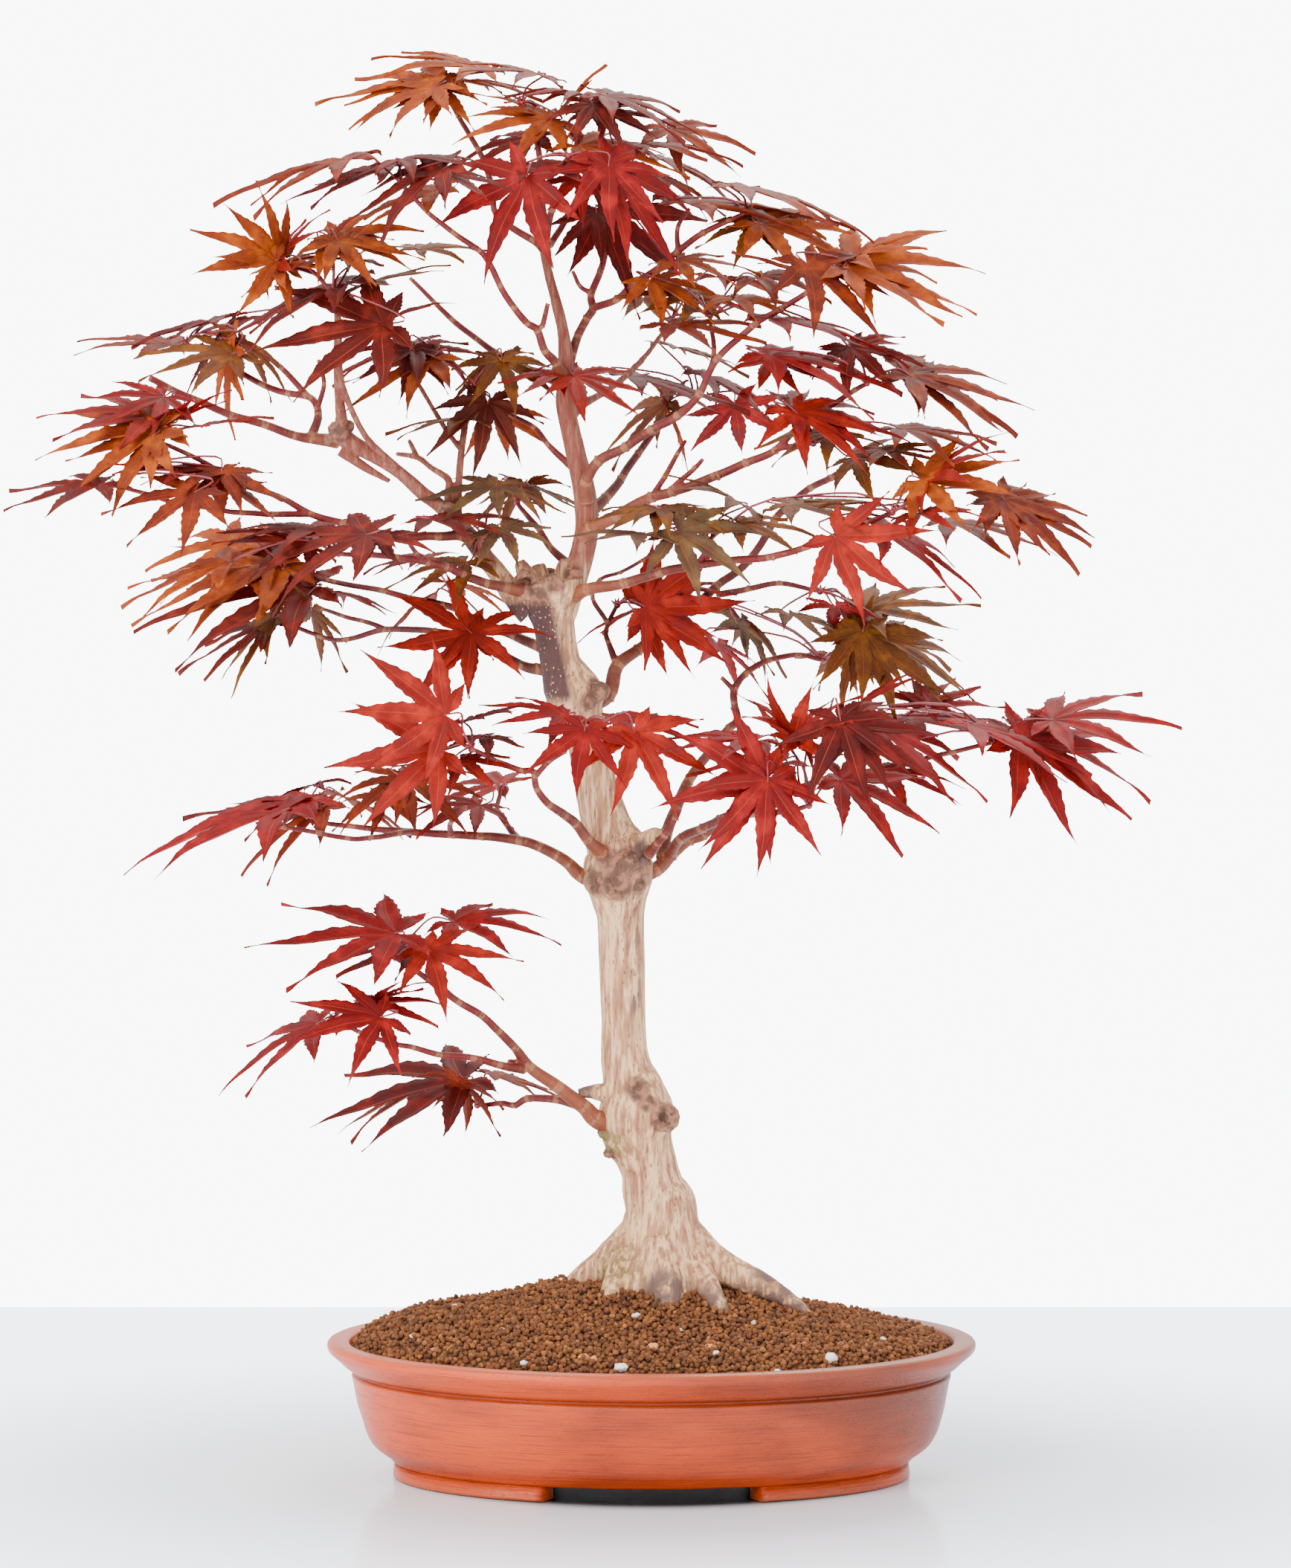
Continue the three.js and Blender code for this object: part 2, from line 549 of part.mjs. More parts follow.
function leafSolid(bud, row, shift) {
  const [baseX, baseHeight, tipX, tipHeight, depth, facing] = row;
  const drawn = Math.hypot(tipX - baseX, tipHeight - baseHeight);
  const length = Math.max(drawn, (drawn + ADULT_LEAF) / 2);
  const baseDepth = (bud[2] + depth) * DEPTH_SPREAD + shift;
  const towards = baseDepth > 20 ? 1 : -1;
  const tipDepth = baseDepth + towards * Math.sqrt(length * length - drawn * drawn) * 0.9;
  const base = place([baseX, baseHeight, baseDepth]);
  const midrib = place([tipX, tipHeight, tipDepth]).sub(base).normalize();
  const normal = new THREE.Vector3(0, -facing, 1 - facing);
  normal.addScaledVector(midrib, -normal.dot(midrib)).normalize();
  const side = new THREE.Vector3().crossVectors(normal, midrib);
  const geometry = new THREE.ExtrudeGeometry(bladeShape(), {
    depth: BLADE_THICK / length,
    bevelEnabled: false,
  });
  geometry.scale(length, length, length);
  geometry.applyMatrix4(new THREE.Matrix4().makeBasis(midrib, side, normal).setPosition(base));
  const start = place(deepen(bud));
  const end = base.clone().addScaledVector(midrib, length * 0.04);
  end.addScaledVector(normal, BLADE_THICK / 2);
  return solidOf(geometry).add(petioleSolid(start, end));
}

function petioleSolid(start, end) {
  const span = end.clone().sub(start);
  const geometry = new THREE.CylinderGeometry(PETIOLE_RADIUS, PETIOLE_RADIUS, span.length(), 3);
  const turn = new THREE.Quaternion().setFromUnitVectors(
    new THREE.Vector3(0, 1, 0),
    span.clone().normalize(),
  );
  geometry.applyQuaternion(turn);
  const middle = start.clone().addScaledVector(span, 0.5);
  geometry.translate(middle.x, middle.y, middle.z);
  return solidOf(geometry);
}

function budSolid(bud, grow) {
  const geometry = new THREE.IcosahedronGeometry(BUD_RADIUS + grow, 0);
  const centre = place(deepen(bud));
  geometry.translate(centre.x, centre.y, centre.z);
  return solidOf(geometry);
}

// ---------------------------------------------------------------- the assembly
const bonsai = new THREE.Group();
const nodes = []; // { name, solid, box }

function addNode(name, solid, material) {
  nodes.push({ name, solid, box: boxOf(solid), material });
}

function meets(solid, others) {
  const box = boxOf(solid).expandByScalar(GAP);
  return others.some((other) => (
    box.intersectsBox(other.box) && solid.intersect(other.solid).volume() > 1e-4));
}

// A leaf keeps clear of every other piece: it moves a little in depth until it does.
function shootSolid(shoot) {
  let solid = budSolid(shoot.at, 0);
  for (const row of shoot.leaves) {
    for (const shift of DEPTH_TRIES) {
      const leaf = leafSolid(shoot.at, row, shift);
      const joined = solid.add(leaf);
      if (!meets(leaf, nodes) && joined.decompose().length === 1 && joined.genus() === 0) {
        solid = joined;
        break;
      }
    }
  }
  return solid;
}

const trunkRoutes = [TRUNK, LEADER, ...ROOTS, HIGH_BACK_SHOOT];
const limbRoutes = [LIMB, ...LIMB_SPURS];
const allShoots = [
  ...LIMB_SHOOTS,
  ...BRANCHES.flatMap((branch) => branch.shoots),
];
const buds = union(allShoots.map((shoot) => budSolid(shoot.at, GAP)));
const trunkClearance = woodSolid(trunkRoutes, GAP);
const limbClearance = woodSolid([LIMB], GAP);

addNode("pot", potSolid(), TERRACOTTA);
addNode("drainage_screen_left", screenSolid(-1, 0), SCREEN_PLASTIC);
addNode("drainage_screen_right", screenSolid(1, 0), SCREEN_PLASTIC);
addNode("soil", soilSolid([screenSolid(-1, GAP), screenSolid(1, GAP), trunkClearance]), AKADAMA);
addNode("trunk", woodSolid(trunkRoutes).subtract(buds), BARK);
addNode("left_limb", woodSolid(limbRoutes).subtract(trunkClearance).subtract(buds), BARK);
for (const branch of BRANCHES) {
  const wood = woodSolid(branch.routes).subtract(trunkClearance).subtract(limbClearance);
  addNode(branch.name, wood.subtract(buds), YOUNG_BARK);
}
for (const shoot of allShoots) {
  addNode(shoot.name, shootSolid(shoot), LEAF);
}

for (const { name, solid, material } of nodes) {
  const mesh = new THREE.Mesh(geometryOf(solid), material);
  mesh.name = name;
  bonsai.add(mesh);
}
const whole = new THREE.Box3().setFromObject(bonsai);
const centre = whole.getCenter(new THREE.Vector3());
bonsai.position.set(-centre.x, -centre.y, -whole.min.z);

export default bonsai;
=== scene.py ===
"""A maple bonsai in an oval unglazed pot, dressed around its CAD frame.

The plant is drawn on a front elevation: x from the pot's middle, height above the drawing's
datum and a depth away from the viewer. Elevation.place sets a drawn point at its depth along
the viewer's line of sight, as the CAD model does.
"""

import logging
import math
import random
from dataclasses import dataclass, field
from enum import Enum
from typing import Iterable, Sequence

import bmesh
import bpy
from bmesh.types import BMVert, BMesh
from bpy.types import ColorRamp, Material, Mesh, Node, NodeSocket, Object
from mathutils import Matrix, Vector, noise
from mathutils.kdtree import KDTree


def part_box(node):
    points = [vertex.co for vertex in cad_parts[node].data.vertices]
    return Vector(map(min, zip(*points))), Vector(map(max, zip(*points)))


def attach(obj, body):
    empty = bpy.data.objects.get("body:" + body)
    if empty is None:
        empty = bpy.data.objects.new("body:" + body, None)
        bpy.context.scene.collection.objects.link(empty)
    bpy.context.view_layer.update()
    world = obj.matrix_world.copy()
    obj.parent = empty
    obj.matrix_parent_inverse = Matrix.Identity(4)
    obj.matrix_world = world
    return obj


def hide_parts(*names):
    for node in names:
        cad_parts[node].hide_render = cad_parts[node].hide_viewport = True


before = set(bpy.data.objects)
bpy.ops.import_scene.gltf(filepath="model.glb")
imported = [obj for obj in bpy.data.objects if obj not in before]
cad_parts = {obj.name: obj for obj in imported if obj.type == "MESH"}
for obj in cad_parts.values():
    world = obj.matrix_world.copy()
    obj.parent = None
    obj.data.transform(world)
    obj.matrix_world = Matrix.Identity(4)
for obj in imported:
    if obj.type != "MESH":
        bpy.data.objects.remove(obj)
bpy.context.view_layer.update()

LOG = logging.getLogger("bonsai")
LOBE_MAP = "lobes"
MM = 0.001
Triple = tuple[float, float, float]
Colour = tuple[float, float, float, float]
DrawnPoint = tuple[float, float, float, float]
LeafRow = tuple[float, float, float, float, float, float, "Tone"]
Ring = tuple[Vector, float, float]
Spot = tuple[Vector, float]


def paint(red: int, green: int, blue: int) -> Colour:
    """Turn a colour seen on a screen into the linear light that a shader mixes.

    Args:
        red: red, from 0 to 255.
        green: green, from 0 to 255.
        blue: blue, from 0 to 255.

    Returns:
        The colour in linear light, opaque.
    """
    def linear(level: int) -> float:
        """Undo the screen's gamma on one channel."""
        share = level / 255
        return share / 12.92 if share < 0.04045 else ((share + 0.055) / 1.055) ** 2.4

    return (linear(red), linear(green), linear(blue), 1.0)


def clip(value: float) -> float:
    """Keep a value from 0 to 1."""
    return min(1.0, max(0.0, value))


def mix(start: float, end: float, share: float) -> float:
    """Go from start to end as share goes from 0 to 1."""
    return start + (end - start) * share


# ---- the drawing's frame
@dataclass(frozen=True)
class Elevation:
    """The front elevation that the plant is drawn on, in millimetres."""

    middle: Vector
    datum: float = 10.0
    eye_x: float = -3.5
    eye_height: float = 629.0
    eye_distance: float = 3200.0
    depth_spread: float = 1.4

    def at(self, x: float, y: float, z: float) -> Vector:
        """Give the place of a point measured from the pot's middle on the table."""
        return self.middle + Vector((x, y, z)) * MM

    def place(self, x: float, height: float, depth: float) -> Vector:
        """Set a drawn point at its true depth on the viewer's line of sight.

        Args:
            x: distance right of the pot's middle on the drawing.
            height: height above the drawing's datum.
            depth: distance behind the pot's middle, negative towards the viewer.

        Returns:
            The point in the row frame, in metres.
        """
        scale = (self.eye_distance + depth) / self.eye_distance
        return self.at(
            self.eye_x + (x - self.eye_x) * scale,
            depth,
            self.eye_height + (height - self.datum - self.eye_height) * scale,
        )

    def route(self, points: Iterable[DrawnPoint]) -> list[tuple[Vector, float]]:
        """Place a route's points, each with the radius of the wood there in metres."""
        return [(self.place(x, height, depth * self.depth_spread), thick * MM / 2)
                for x, height, depth, thick in points]


def pot_middle() -> Vector:
    """Find the middle of the pot's foot on the table, in the row frame."""
    low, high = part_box("pot")
    return Vector(((low.x + high.x) / 2, (low.y + high.y) / 2, low.z))


DRAWING = Elevation(pot_middle())


# ---- shader sums
class Term:
    """A shader socket that adds, multiplies and compares like a number."""

    def __init__(self, shader: "Shader", socket: NodeSocket) -> None:
        """Wrap one output socket of a shader's tree."""
        self.shader = shader
        self.socket = socket

    def sum(self, operation: str, first: "Term | float", second: "Term | float") -> "Term":
        """Add one Math node.

        Args:
            operation: the Math node's operation.
            first: its first value.
            second: its second value.

        Returns:
            The node's result.
        """
        node = self.shader.node("ShaderNodeMath", {"operation": operation}, {0: first, 1: second})
        return Term(self.shader, node.outputs[0])

    def __add__(self, other: "Term | float") -> "Term":
        """Add."""
        return self.sum("ADD", self, other)

    def __radd__(self, other: float) -> "Term":
        """Add to a number."""
        return self.sum("ADD", other, self)

    def __sub__(self, other: "Term | float") -> "Term":
        """Take away."""
        return self.sum("SUBTRACT", self, other)

    def __rsub__(self, other: float) -> "Term":
        """Take from a number."""
        return self.sum("SUBTRACT", other, self)

    def __mul__(self, other: "Term | float") -> "Term":
        """Multiply."""
        return self.sum("MULTIPLY", self, other)

    def __rmul__(self, other: float) -> "Term":
        """Multiply a number."""
        return self.sum("MULTIPLY", other, self)

    def __pow__(self, other: float) -> "Term":
        """Raise to a power."""
        return self.sum("POWER", self, other)

    def step(self, low: float, high: float) -> "Term":
        """Go smoothly from 0 at low to 1 at high.

        Args:
            low: the value at which it leaves 0.
            high: the value at which it reaches 1.

        Returns:
            The share.
        """
        node = self.shader.node(
            "ShaderNodeMapRange",
            {"interpolation_type": "SMOOTHSTEP"},
            {"Value": self, "From Min": low, "From Max": high},
        )
        return Term(self.shader, node.outputs["Result"])


class Shader:
    """A material's node tree, built by short calls."""

    def __init__(self, name: str) -> None:
        """Make an empty material of that name."""
        self.material = bpy.data.materials.new(name)
        self.material.use_nodes = True
        self.tree = self.material.node_tree
        self.tree.nodes.clear()
        self.output = self.node("ShaderNodeOutputMaterial")

    def node(self, kind: str, settings: dict | None = None,
             inputs: dict | None = None) -> Node:
        """Add a node: its settings are set first, then its sockets.

        Args:
            kind: the node's type.
            settings: its properties, and "stops" for a ramp's (place, colour) pairs.
            inputs: socket name or index to a Term to link or a value to set.

        Returns:
            The new node.
        """
        node = self.tree.nodes.new(kind)
        for key, value in (settings or {}).items():
            if key == "stops":
                self.set_stops(node.color_ramp, value)
            else:
                setattr(node, key, value)
        for key, value in (inputs or {}).items():
            if isinstance(value, Term):
                self.tree.links.new(value.socket, node.inputs[key])
            else:
                node.inputs[key].default_value = value
        return node

    @staticmethod
    def set_stops(ramp: ColorRamp, stops: Sequence[tuple[float, Colour]]) -> None:
        """Give a colour ramp its stops.

        Args:
            ramp: the ramp.
            stops: each stop's place and colour.
        """
        while len(ramp.elements) < len(stops):
            ramp.elements.new(1.0)
        for element, (place, colour) in zip(ramp.elements, stops):
            element.position = place
            element.color = colour

    def term(self, node: Node, output: str | int = 0) -> Term:
        """Wrap one of a node's outputs."""
        return Term(self, node.outputs[output])

    def place(self, scale: Triple = (1, 1, 1)) -> Term:
        """Give Object coordinates measured from the pot's middle and stretched by scale."""
        source = self.term(self.node("ShaderNodeTexCoord"), "Object")
        shift = tuple(-part * size for part, size in zip(DRAWING.middle, scale))
        return self.term(self.node(
            "ShaderNodeMapping", {}, {"Vector": source, "Location": shift, "Scale": scale}))

    def axis(self, name: str) -> Term:
        """Give one Object coordinate, X, Y or Z, in metres from the pot's middle."""
        split = self.node("ShaderNodeSeparateXYZ", {}, {0: self.place()})
        return self.term(split, name)

    def attribute(self, name: str, output: str = "Fac") -> Term:
        """Read an attribute of the mesh."""
        return self.term(self.node("ShaderNodeAttribute", {"attribute_name": name}), output)

    def noise(self, scale: float, stretch: Triple = (1, 1, 1),
              detail: float = 3.0, rough: float = 0.55) -> Term:
        """Give cloudy noise from 0 to 1.

        Args:
            scale: how many blotches there are to a metre.
            stretch: how much finer the blotches are along each axis.
            detail: how many finer layers are added.
            rough: how strong those layers are.

        Returns:
            The noise.
        """
        return self.term(self.node("ShaderNodeTexNoise", {}, {
            "Vector": self.place(stretch), "Scale": scale, "Detail": detail, "Roughness": rough}))

    def cells(self, scale: float, stretch: Triple = (1, 1, 1)) -> Term:
        """Give the distance to the nearest of that many cells a metre.

        Args:
            scale: how many cells there are to a metre.
            stretch: how much finer the cells are along each axis.

        Returns:
            The distance.
        """
        node = self.node(
            "ShaderNodeTexVoronoi", {}, {"Vector": self.place(stretch), "Scale": scale})
        return self.term(node, "Distance")

    def blend(self, share: Term | float, first: Term | Colour, second: Term | Colour) -> Term:
        """Mix two colours by share.

        Args:
            share: how much of the second colour there is.
            first: the first colour.
            second: the second colour.

        Returns:
            The mixed colour.
        """
        node = self.node(
            "ShaderNodeMix", {"data_type": "RGBA"}, {"Factor": share, 6: first, 7: second})
        return self.term(node, 2)

    def ramp(self, value: Term, stops: Sequence[tuple[float, Colour]]) -> Term:
        """Give the colour of a ramp at value."""
        node = self.node("ShaderNodeValToRGB", {"stops": stops}, {"Fac": value})
        return self.term(node)

    def bump(self, height: Term, strength: float, distance: float) -> Term:
        """Turn a height into a normal.

        Args:
            height: the height.
            strength: how strongly it shows.
            distance: how deep a height of 1 is, in metres.

        Returns:
            The normal.
        """
        node = self.node(
            "ShaderNodeBump", {}, {"Height": height, "Strength": strength, "Distance": distance}
        )
        return self.term(node)

    def surface(self, values: dict, through: float = 0.0,
                glow: Colour | None = None) -> Material:
        """Finish with a Principled surface.

        Args:
            values: the Principled node's sockets.
            through: the share of light that passes through a thin leaf.
            glow: the colour of the light that passes.

        Returns:
            The finished material.
        """
        shell = self.term(self.node("ShaderNodeBsdfPrincipled", {}, values))
        if glow is not None:
            thin = self.term(self.node("ShaderNodeBsdfTranslucent", {}, {"Color": glow}))
            mixed = self.node("ShaderNodeMixShader", {}, {"Fac": through, 1: shell, 2: thin})
            shell = self.term(mixed)
        self.tree.links.new(shell.socket, self.output.inputs["Surface"])
        return self.material


# ---- finishes
@dataclass(frozen=True)
class ClayFinish:
    """Burnished unglazed clay with firing clouds, turning lines and specks, and painted shade: orange on
    the left side going to brown on the right, and a dark band in the groove under the rim.
    """

    # Painted shade: orange, pink and brown are laid from the pot's left side to its right, so the right
    # side reads shaded.
    orange: Colour = paint(192, 64, 0)
    pink: Colour = paint(160, 50, 2)
    brown: Colour = paint(114, 38, 2)
    pale: Colour = paint(146, 78, 42)
    # Smoky firing colour for the clouds and turning lines, also used as painted shade in the groove under
    # the rim.
    smoke_and_shade: Colour = paint(76, 26, 6)

    def make(self) -> Material:
        """Build the material.

        Returns:
            The material.
        """
        shader = Shader("burnished_clay")
        # Painted shade: the clay darkens from left to right across the pot, as if lit from the left.
        across = shader.axis("X").step(-0.17, 0.17)
        clay_and_shade = shader.ramp(across, [(0.0, self.orange), (0.5, self.pink), (1.0, self.brown)])
        clouds = shader.noise(9.0, (1, 1, 2.6), 4.0)
        clay_and_shade = shader.blend(clouds.step(0.45, 0.7) * 0.6, clay_and_shade, self.orange)
        clay_and_shade = shader.blend(clouds.step(0.52, 0.28) * 0.5, clay_and_shade, self.smoke_and_shade)
        lines = shader.noise(1.0, (26, 26, 950), 4.0, 0.65)
        clay_and_shade = shader.blend(lines.step(0.48, 0.68) * 0.42, clay_and_shade, self.smoke_and_shade)
        specks = shader.cells(620.0).step(0.22, 0.1)
        clay_and_shade = shader.blend(specks * shader.noise(90.0).step(0.5, 0.6) * 0.45, clay_and_shade, self.pale)
        height = shader.axis("Z")
        # Painted shade: a dark band in the groove under the rim.
        cove_shade = height.step(0.0595, 0.0625) * height.step(0.0665, 0.0635)
        clay_and_shade = shader.blend(cove_shade * 0.45, clay_and_shade, self.smoke_and_shade)
        rim = height.step(0.0785, 0.0815)
        clay_and_shade = shader.blend(rim * 0.4, clay_and_shade, self.pale)
        foot = height.step(0.0035, 0.0005)
        clay_and_shade = shader.blend(foot * 0.5, clay_and_shade, self.pale)
        pits = shader.cells(330.0, (1, 1, 1.6)).step(0.25, 0.05)
        relief = lines * 0.7 + shader.noise(60.0, (1, 1, 3)) * 0.8 - pits * 0.5
        return shader.surface({
            "Base Color": clay_and_shade,
            "Roughness": shader.noise(40.0) * 0.18 + 0.3,
            "Specular IOR Level": 0.35,
            "Normal": shader.bump(relief, 0.7, 0.0009),
        })


@dataclass(frozen=True)
class GrainFinish:
    """Moist clay grains, each a little different."""

    dark: Colour = paint(66, 34, 10)
    middle: Colour = paint(116, 64, 22)
    light: Colour = paint(166, 102, 44)

    def make(self) -> Material:
        """Build the material.

        Returns:
            The material.
        """
        shader = Shader("clay_grains")
        tone = shader.attribute("grain_tone")
        colour = shader.ramp(tone, [(0.0, self.dark), (0.55, self.middle), (1.0, self.light)])
        grit = shader.noise(900.0, detail=2.0)
        colour = shader.blend(grit.step(0.35, 0.75) * 0.4, colour, self.dark)
        return shader.surface({
            "Base Color": colour,
            "Roughness": 0.92,
            "Normal": shader.bump(grit, 0.7, 0.0006),
        })


@dataclass(frozen=True)
class PebbleFinish:
    """Stray pumice and quartz among the grains, coloured stone by stone."""

    def make(self) -> Material:
        """Build the material.

        Returns:
            The material.
        """
        shader = Shader("stray_pebbles")
        tint = shader.attribute("pebble_tint", "Color")
        grit = shader.noise(700.0)
        colour = shader.blend(grit.step(0.5, 0.8) * 0.3, tint, paint(120, 92, 70))
        return shader.surface({
            "Base Color": colour,
            "Roughness": 0.8,
            "Normal": shader.bump(grit, 0.5, 0.0005),
        })


@dataclass(frozen=True)
class BarkFinish:
    """Pale smooth maple bark with streaks, pits, scars, moss and darker young wood."""

    cream: Colour = paint(210, 166, 122)
    beige: Colour = paint(164, 116, 78)
    pink: Colour = paint(134, 82, 60)
    umber: Colour = paint(72, 40, 24)
    charred: Colour = paint(62, 30, 26)
    grey: Colour = paint(92, 66, 56)
    moss: Colour = paint(104, 92, 34)
    young: Colour = paint(108, 44, 24)
    crimson: Colour = paint(92, 26, 24)

    def make(self) -> Material:
        """Build the material.

        Returns:
            The material.
        """
        shader = Shader("maple_bark")
        streaks = shader.noise(1.0, (330, 330, 38), 5.0, 0.6)
        fine = shader.noise(1.0, (900, 900, 110), 3.0)
        bark = shader.ramp(
            streaks,
            [(0.34, self.pink), (0.47, self.beige), (0.58, self.cream), (0.8, self.cream)],
        )
        bark = shader.blend(fine.step(0.58, 0.78) * 0.65, bark, self.umber)
        patches = shader.noise(22.0, (1, 1, 0.6), 4.0)
        bark = shader.blend(patches.step(0.52, 0.72) * 0.4, bark, self.pink)
        pits = shader.cells(1.0, (430, 430, 150)).step(0.24, 0.1)
        bark = shader.blend(pits * patches.step(0.4, 0.6) * 0.75, bark, self.umber)
        youth = shader.attribute("wood_youth")
        young = shader.blend(streaks.step(0.44, 0.66), self.young, self.pink)
        young = shader.blend(fine.step(0.5, 0.72) * 0.7, young, self.crimson)
        bark = shader.blend(youth, bark, young)
        dark = shader.attribute("wood_dark") * streaks.step(0.24, 0.42)
        bark = shader.blend(dark, bark, self.charred)
        dots = shader.cells(1.0, (420, 420, 300)).step(0.2, 0.12)
        bark = shader.blend(dots * shader.attribute("wood_dark") * 0.9, bark, self.cream)
        fleck = shader.attribute("wood_fleck") * shader.noise(1.0, (300, 300, 90)).step(0.45, 0.57)
        bark = shader.blend(fleck, bark, self.charred)
        scar = shader.attribute("wood_scar")
        worn = shader.blend(shader.noise(160.0).step(0.44, 0.62), self.umber, self.pink)
        bark = shader.blend(scar * 0.95, bark, worn)
        lichen = shader.attribute("wood_grey").step(0.1, 0.7) * shader.noise(120.0).step(0.28, 0.5)
        bark = shader.blend(lichen, bark, self.grey)
        moss = shader.attribute("wood_moss") * shader.noise(230.0).step(0.42, 0.58)
        bark = shader.blend(moss, bark, self.moss)
        relief = streaks * 0.8 + fine * 0.5 - pits * 0.6
        return shader.surface({
            "Base Color": bark,
            "Roughness": shader.noise(50.0) * 0.15 + 0.68,
            "Normal": shader.bump(relief, 0.75, 0.0011),
        })


@dataclass(frozen=True)
class TwigFinish:
    """Branch bark: tan where it is thick, crimson to maroon where it is thin."""

    tan: Colour = paint(118, 58, 34)
    brown: Colour = paint(88, 28, 18)
    crimson: Colour = paint(98, 14, 16)
    maroon: Colour = paint(58, 18, 20)
    node: Colour = paint(172, 118, 80)

    def make(self) -> Material:
        """Build the material.

        Returns:
            The material.
        """
        shader = Shader("twig_bark")
        girth = shader.attribute("twig_girth")
        bark = shader.ramp(
            girth,
            [(0.0, self.crimson), (0.3, self.crimson), (0.5, self.brown), (0.8, self.tan)],
        )
        mottle = shader.noise(240.0, detail=4.0)
        dark = shader.attribute("twig_shade")
        bark = shader.blend(dark * mottle.step(0.2, 0.6), bark, self.maroon)
        bark = shader.blend(mottle.step(0.6, 0.75) * 0.22, bark, self.node)
        ring = shader.attribute("twig_ring") * shader.noise(300.0).step(0.25, 0.55)
        bark = shader.blend(ring * 0.4, bark, self.node)
        return shader.surface({
            "Base Color": bark,
            "Roughness": 0.58,
            "Specular IOR Level": 0.25,
            "Normal": shader.bump(mottle, 0.5, 0.0006),
        })


@dataclass(frozen=True)
class StalkFinish:
    """Leaf stalks: smooth, thin and crimson."""

    crimson: Colour = paint(130, 18, 28)
    dark: Colour = paint(84, 18, 24)

    def make(self) -> Material:
        """Build the material.

        Returns:
            The material.
        """
        shader = Shader("leaf_stalk")
        mottle = shader.noise(120.0)
        colour = shader.blend(mottle.step(0.4, 0.65), self.crimson, self.dark)
        return shader.surface({
            "Base Color": colour, "Roughness": 0.42, "Normal": shader.bump(mottle, 0.2, 0.0003),
        })


@dataclass(frozen=True)
class LeafFinish:
    """Autumn leaf blades: each leaf's own tint, pale midribs, side veins and mottling, with painted light:
    blotches and side veins take the colour of light shining through the leaf.
    """

    through: float = 0.27
    shine: Colour = paint(198, 66, 30)
    vein_width: float = 0.07
    side_veins: float = 15.0

    def make(self) -> Material:
        """Build the material.

        Returns:
            The material.
        """
        shader = Shader("maple_leaf")
        tint = shader.attribute("leaf_tint", "Color")
        glow = shader.attribute("leaf_glow", "Color")
        split = shader.node("ShaderNodeSeparateXYZ", {}, {
            0: shader.term(shader.node("ShaderNodeUVMap", {"uv_map": LOBE_MAP})),
        })
        across = shader.term(split, "X")
        along = shader.term(split, "Y")
        middle = (across - 0.5).sum("ABSOLUTE", across - 0.5, 0.0) * 2.0
        rib = middle.step(self.vein_width, self.vein_width * 0.3)
        wave = (along * self.side_veins - middle * 2.2)
        wave = wave.sum("FRACT", wave, 0.0)
        side = (wave - 0.5).sum("ABSOLUTE", wave - 0.5, 0.0).step(0.4, 0.5) * middle.step(1.0, 0.4)
        blotch = shader.noise(75.0, detail=4.0)
        fine = shader.noise(520.0, detail=2.0)
        # Painted light: blotches in each leaf's glow colour, the colour of light shining through it.
        colour = shader.blend(blotch.step(0.45, 0.72) * 0.5, tint, glow)
        colour = shader.blend(blotch.step(0.48, 0.3) * 0.35, colour, paint(58, 26, 30))
        colour = shader.blend(fine.step(0.56, 0.7) * 0.25, colour, paint(70, 30, 30))
        # Painted light: side veins in each leaf's glow colour, the colour of light shining through it.
        colour = shader.blend(side * 0.22, colour, glow)
        colour = shader.blend(rib * 0.5, colour, paint(176, 78, 50))
        relief = rib + side * 0.35 + fine * 0.25
        return shader.surface({
            "Base Color": colour,
            "Roughness": blotch * 0.14 + 0.52,
            "Specular IOR Level": 0.12,
            "Normal": shader.bump(relief, 0.45, 0.0006),
        }, self.through, self.shine)


@dataclass(frozen=True)
class ScreenFinish:
    """Black plastic mesh."""

    def make(self) -> Material:
        """Build the material.

        Returns:
            The material.
        """
        shader = Shader("plastic_mesh")
        grain = shader.noise(800.0)
        colour = shader.blend(grain, paint(30, 32, 30), paint(52, 54, 50))
        return shader.surface({"Base Color": colour, "Roughness": 0.55})


# ---- mesh tools
def new_piece(name: str, mesh: Mesh) -> Object:
    """Stand a mesh in the scene as an object at the origin.

    Args:
        name: the object's name.
        mesh: its mesh.

    Returns:
        The object, linked to the scene.
    """
    piece = bpy.data.objects.new(name, mesh)
    bpy.context.scene.collection.objects.link(piece)
    return piece


def mesh_of(shape: BMesh, name: str) -> Mesh:
    """Turn a bmesh into a mesh and let the bmesh go.

    Args:
        shape: the shape, which is let go.
        name: the mesh's name.

    Returns:
        The mesh.
    """
    mesh = bpy.data.meshes.new(name)
    shape.to_mesh(mesh)
    shape.free()
    return mesh


def add_to(whole: BMesh, part: BMesh) -> None:
    """Move a part's geometry into a larger shape and let the part go.

    Args:
        whole: the shape that gets the part.
        part: the part.
    """
    mesh = mesh_of(part, "part")
    whole.from_mesh(mesh)
    bpy.data.meshes.remove(mesh)


def to_table(shape: BMesh) -> None:
    """Set a shape drawn in millimetres from the pot's middle in its place, in metres."""
    bmesh.ops.scale(shape, vec=(MM, MM, MM), verts=shape.verts)
    bmesh.ops.translate(shape, vec=DRAWING.middle, verts=shape.verts)


def applied(piece: Object) -> Object:
    """Apply a piece's modifiers to its mesh.

    Args:
        piece: the object whose modifiers are to be applied.

    Returns:
        The same object, with a plain mesh.
    """
    evaluated = piece.evaluated_get(bpy.context.evaluated_depsgraph_get())
    mesh = bpy.data.meshes.new_from_object(evaluated)
    piece.modifiers.clear()
    piece.data = mesh
    return piece


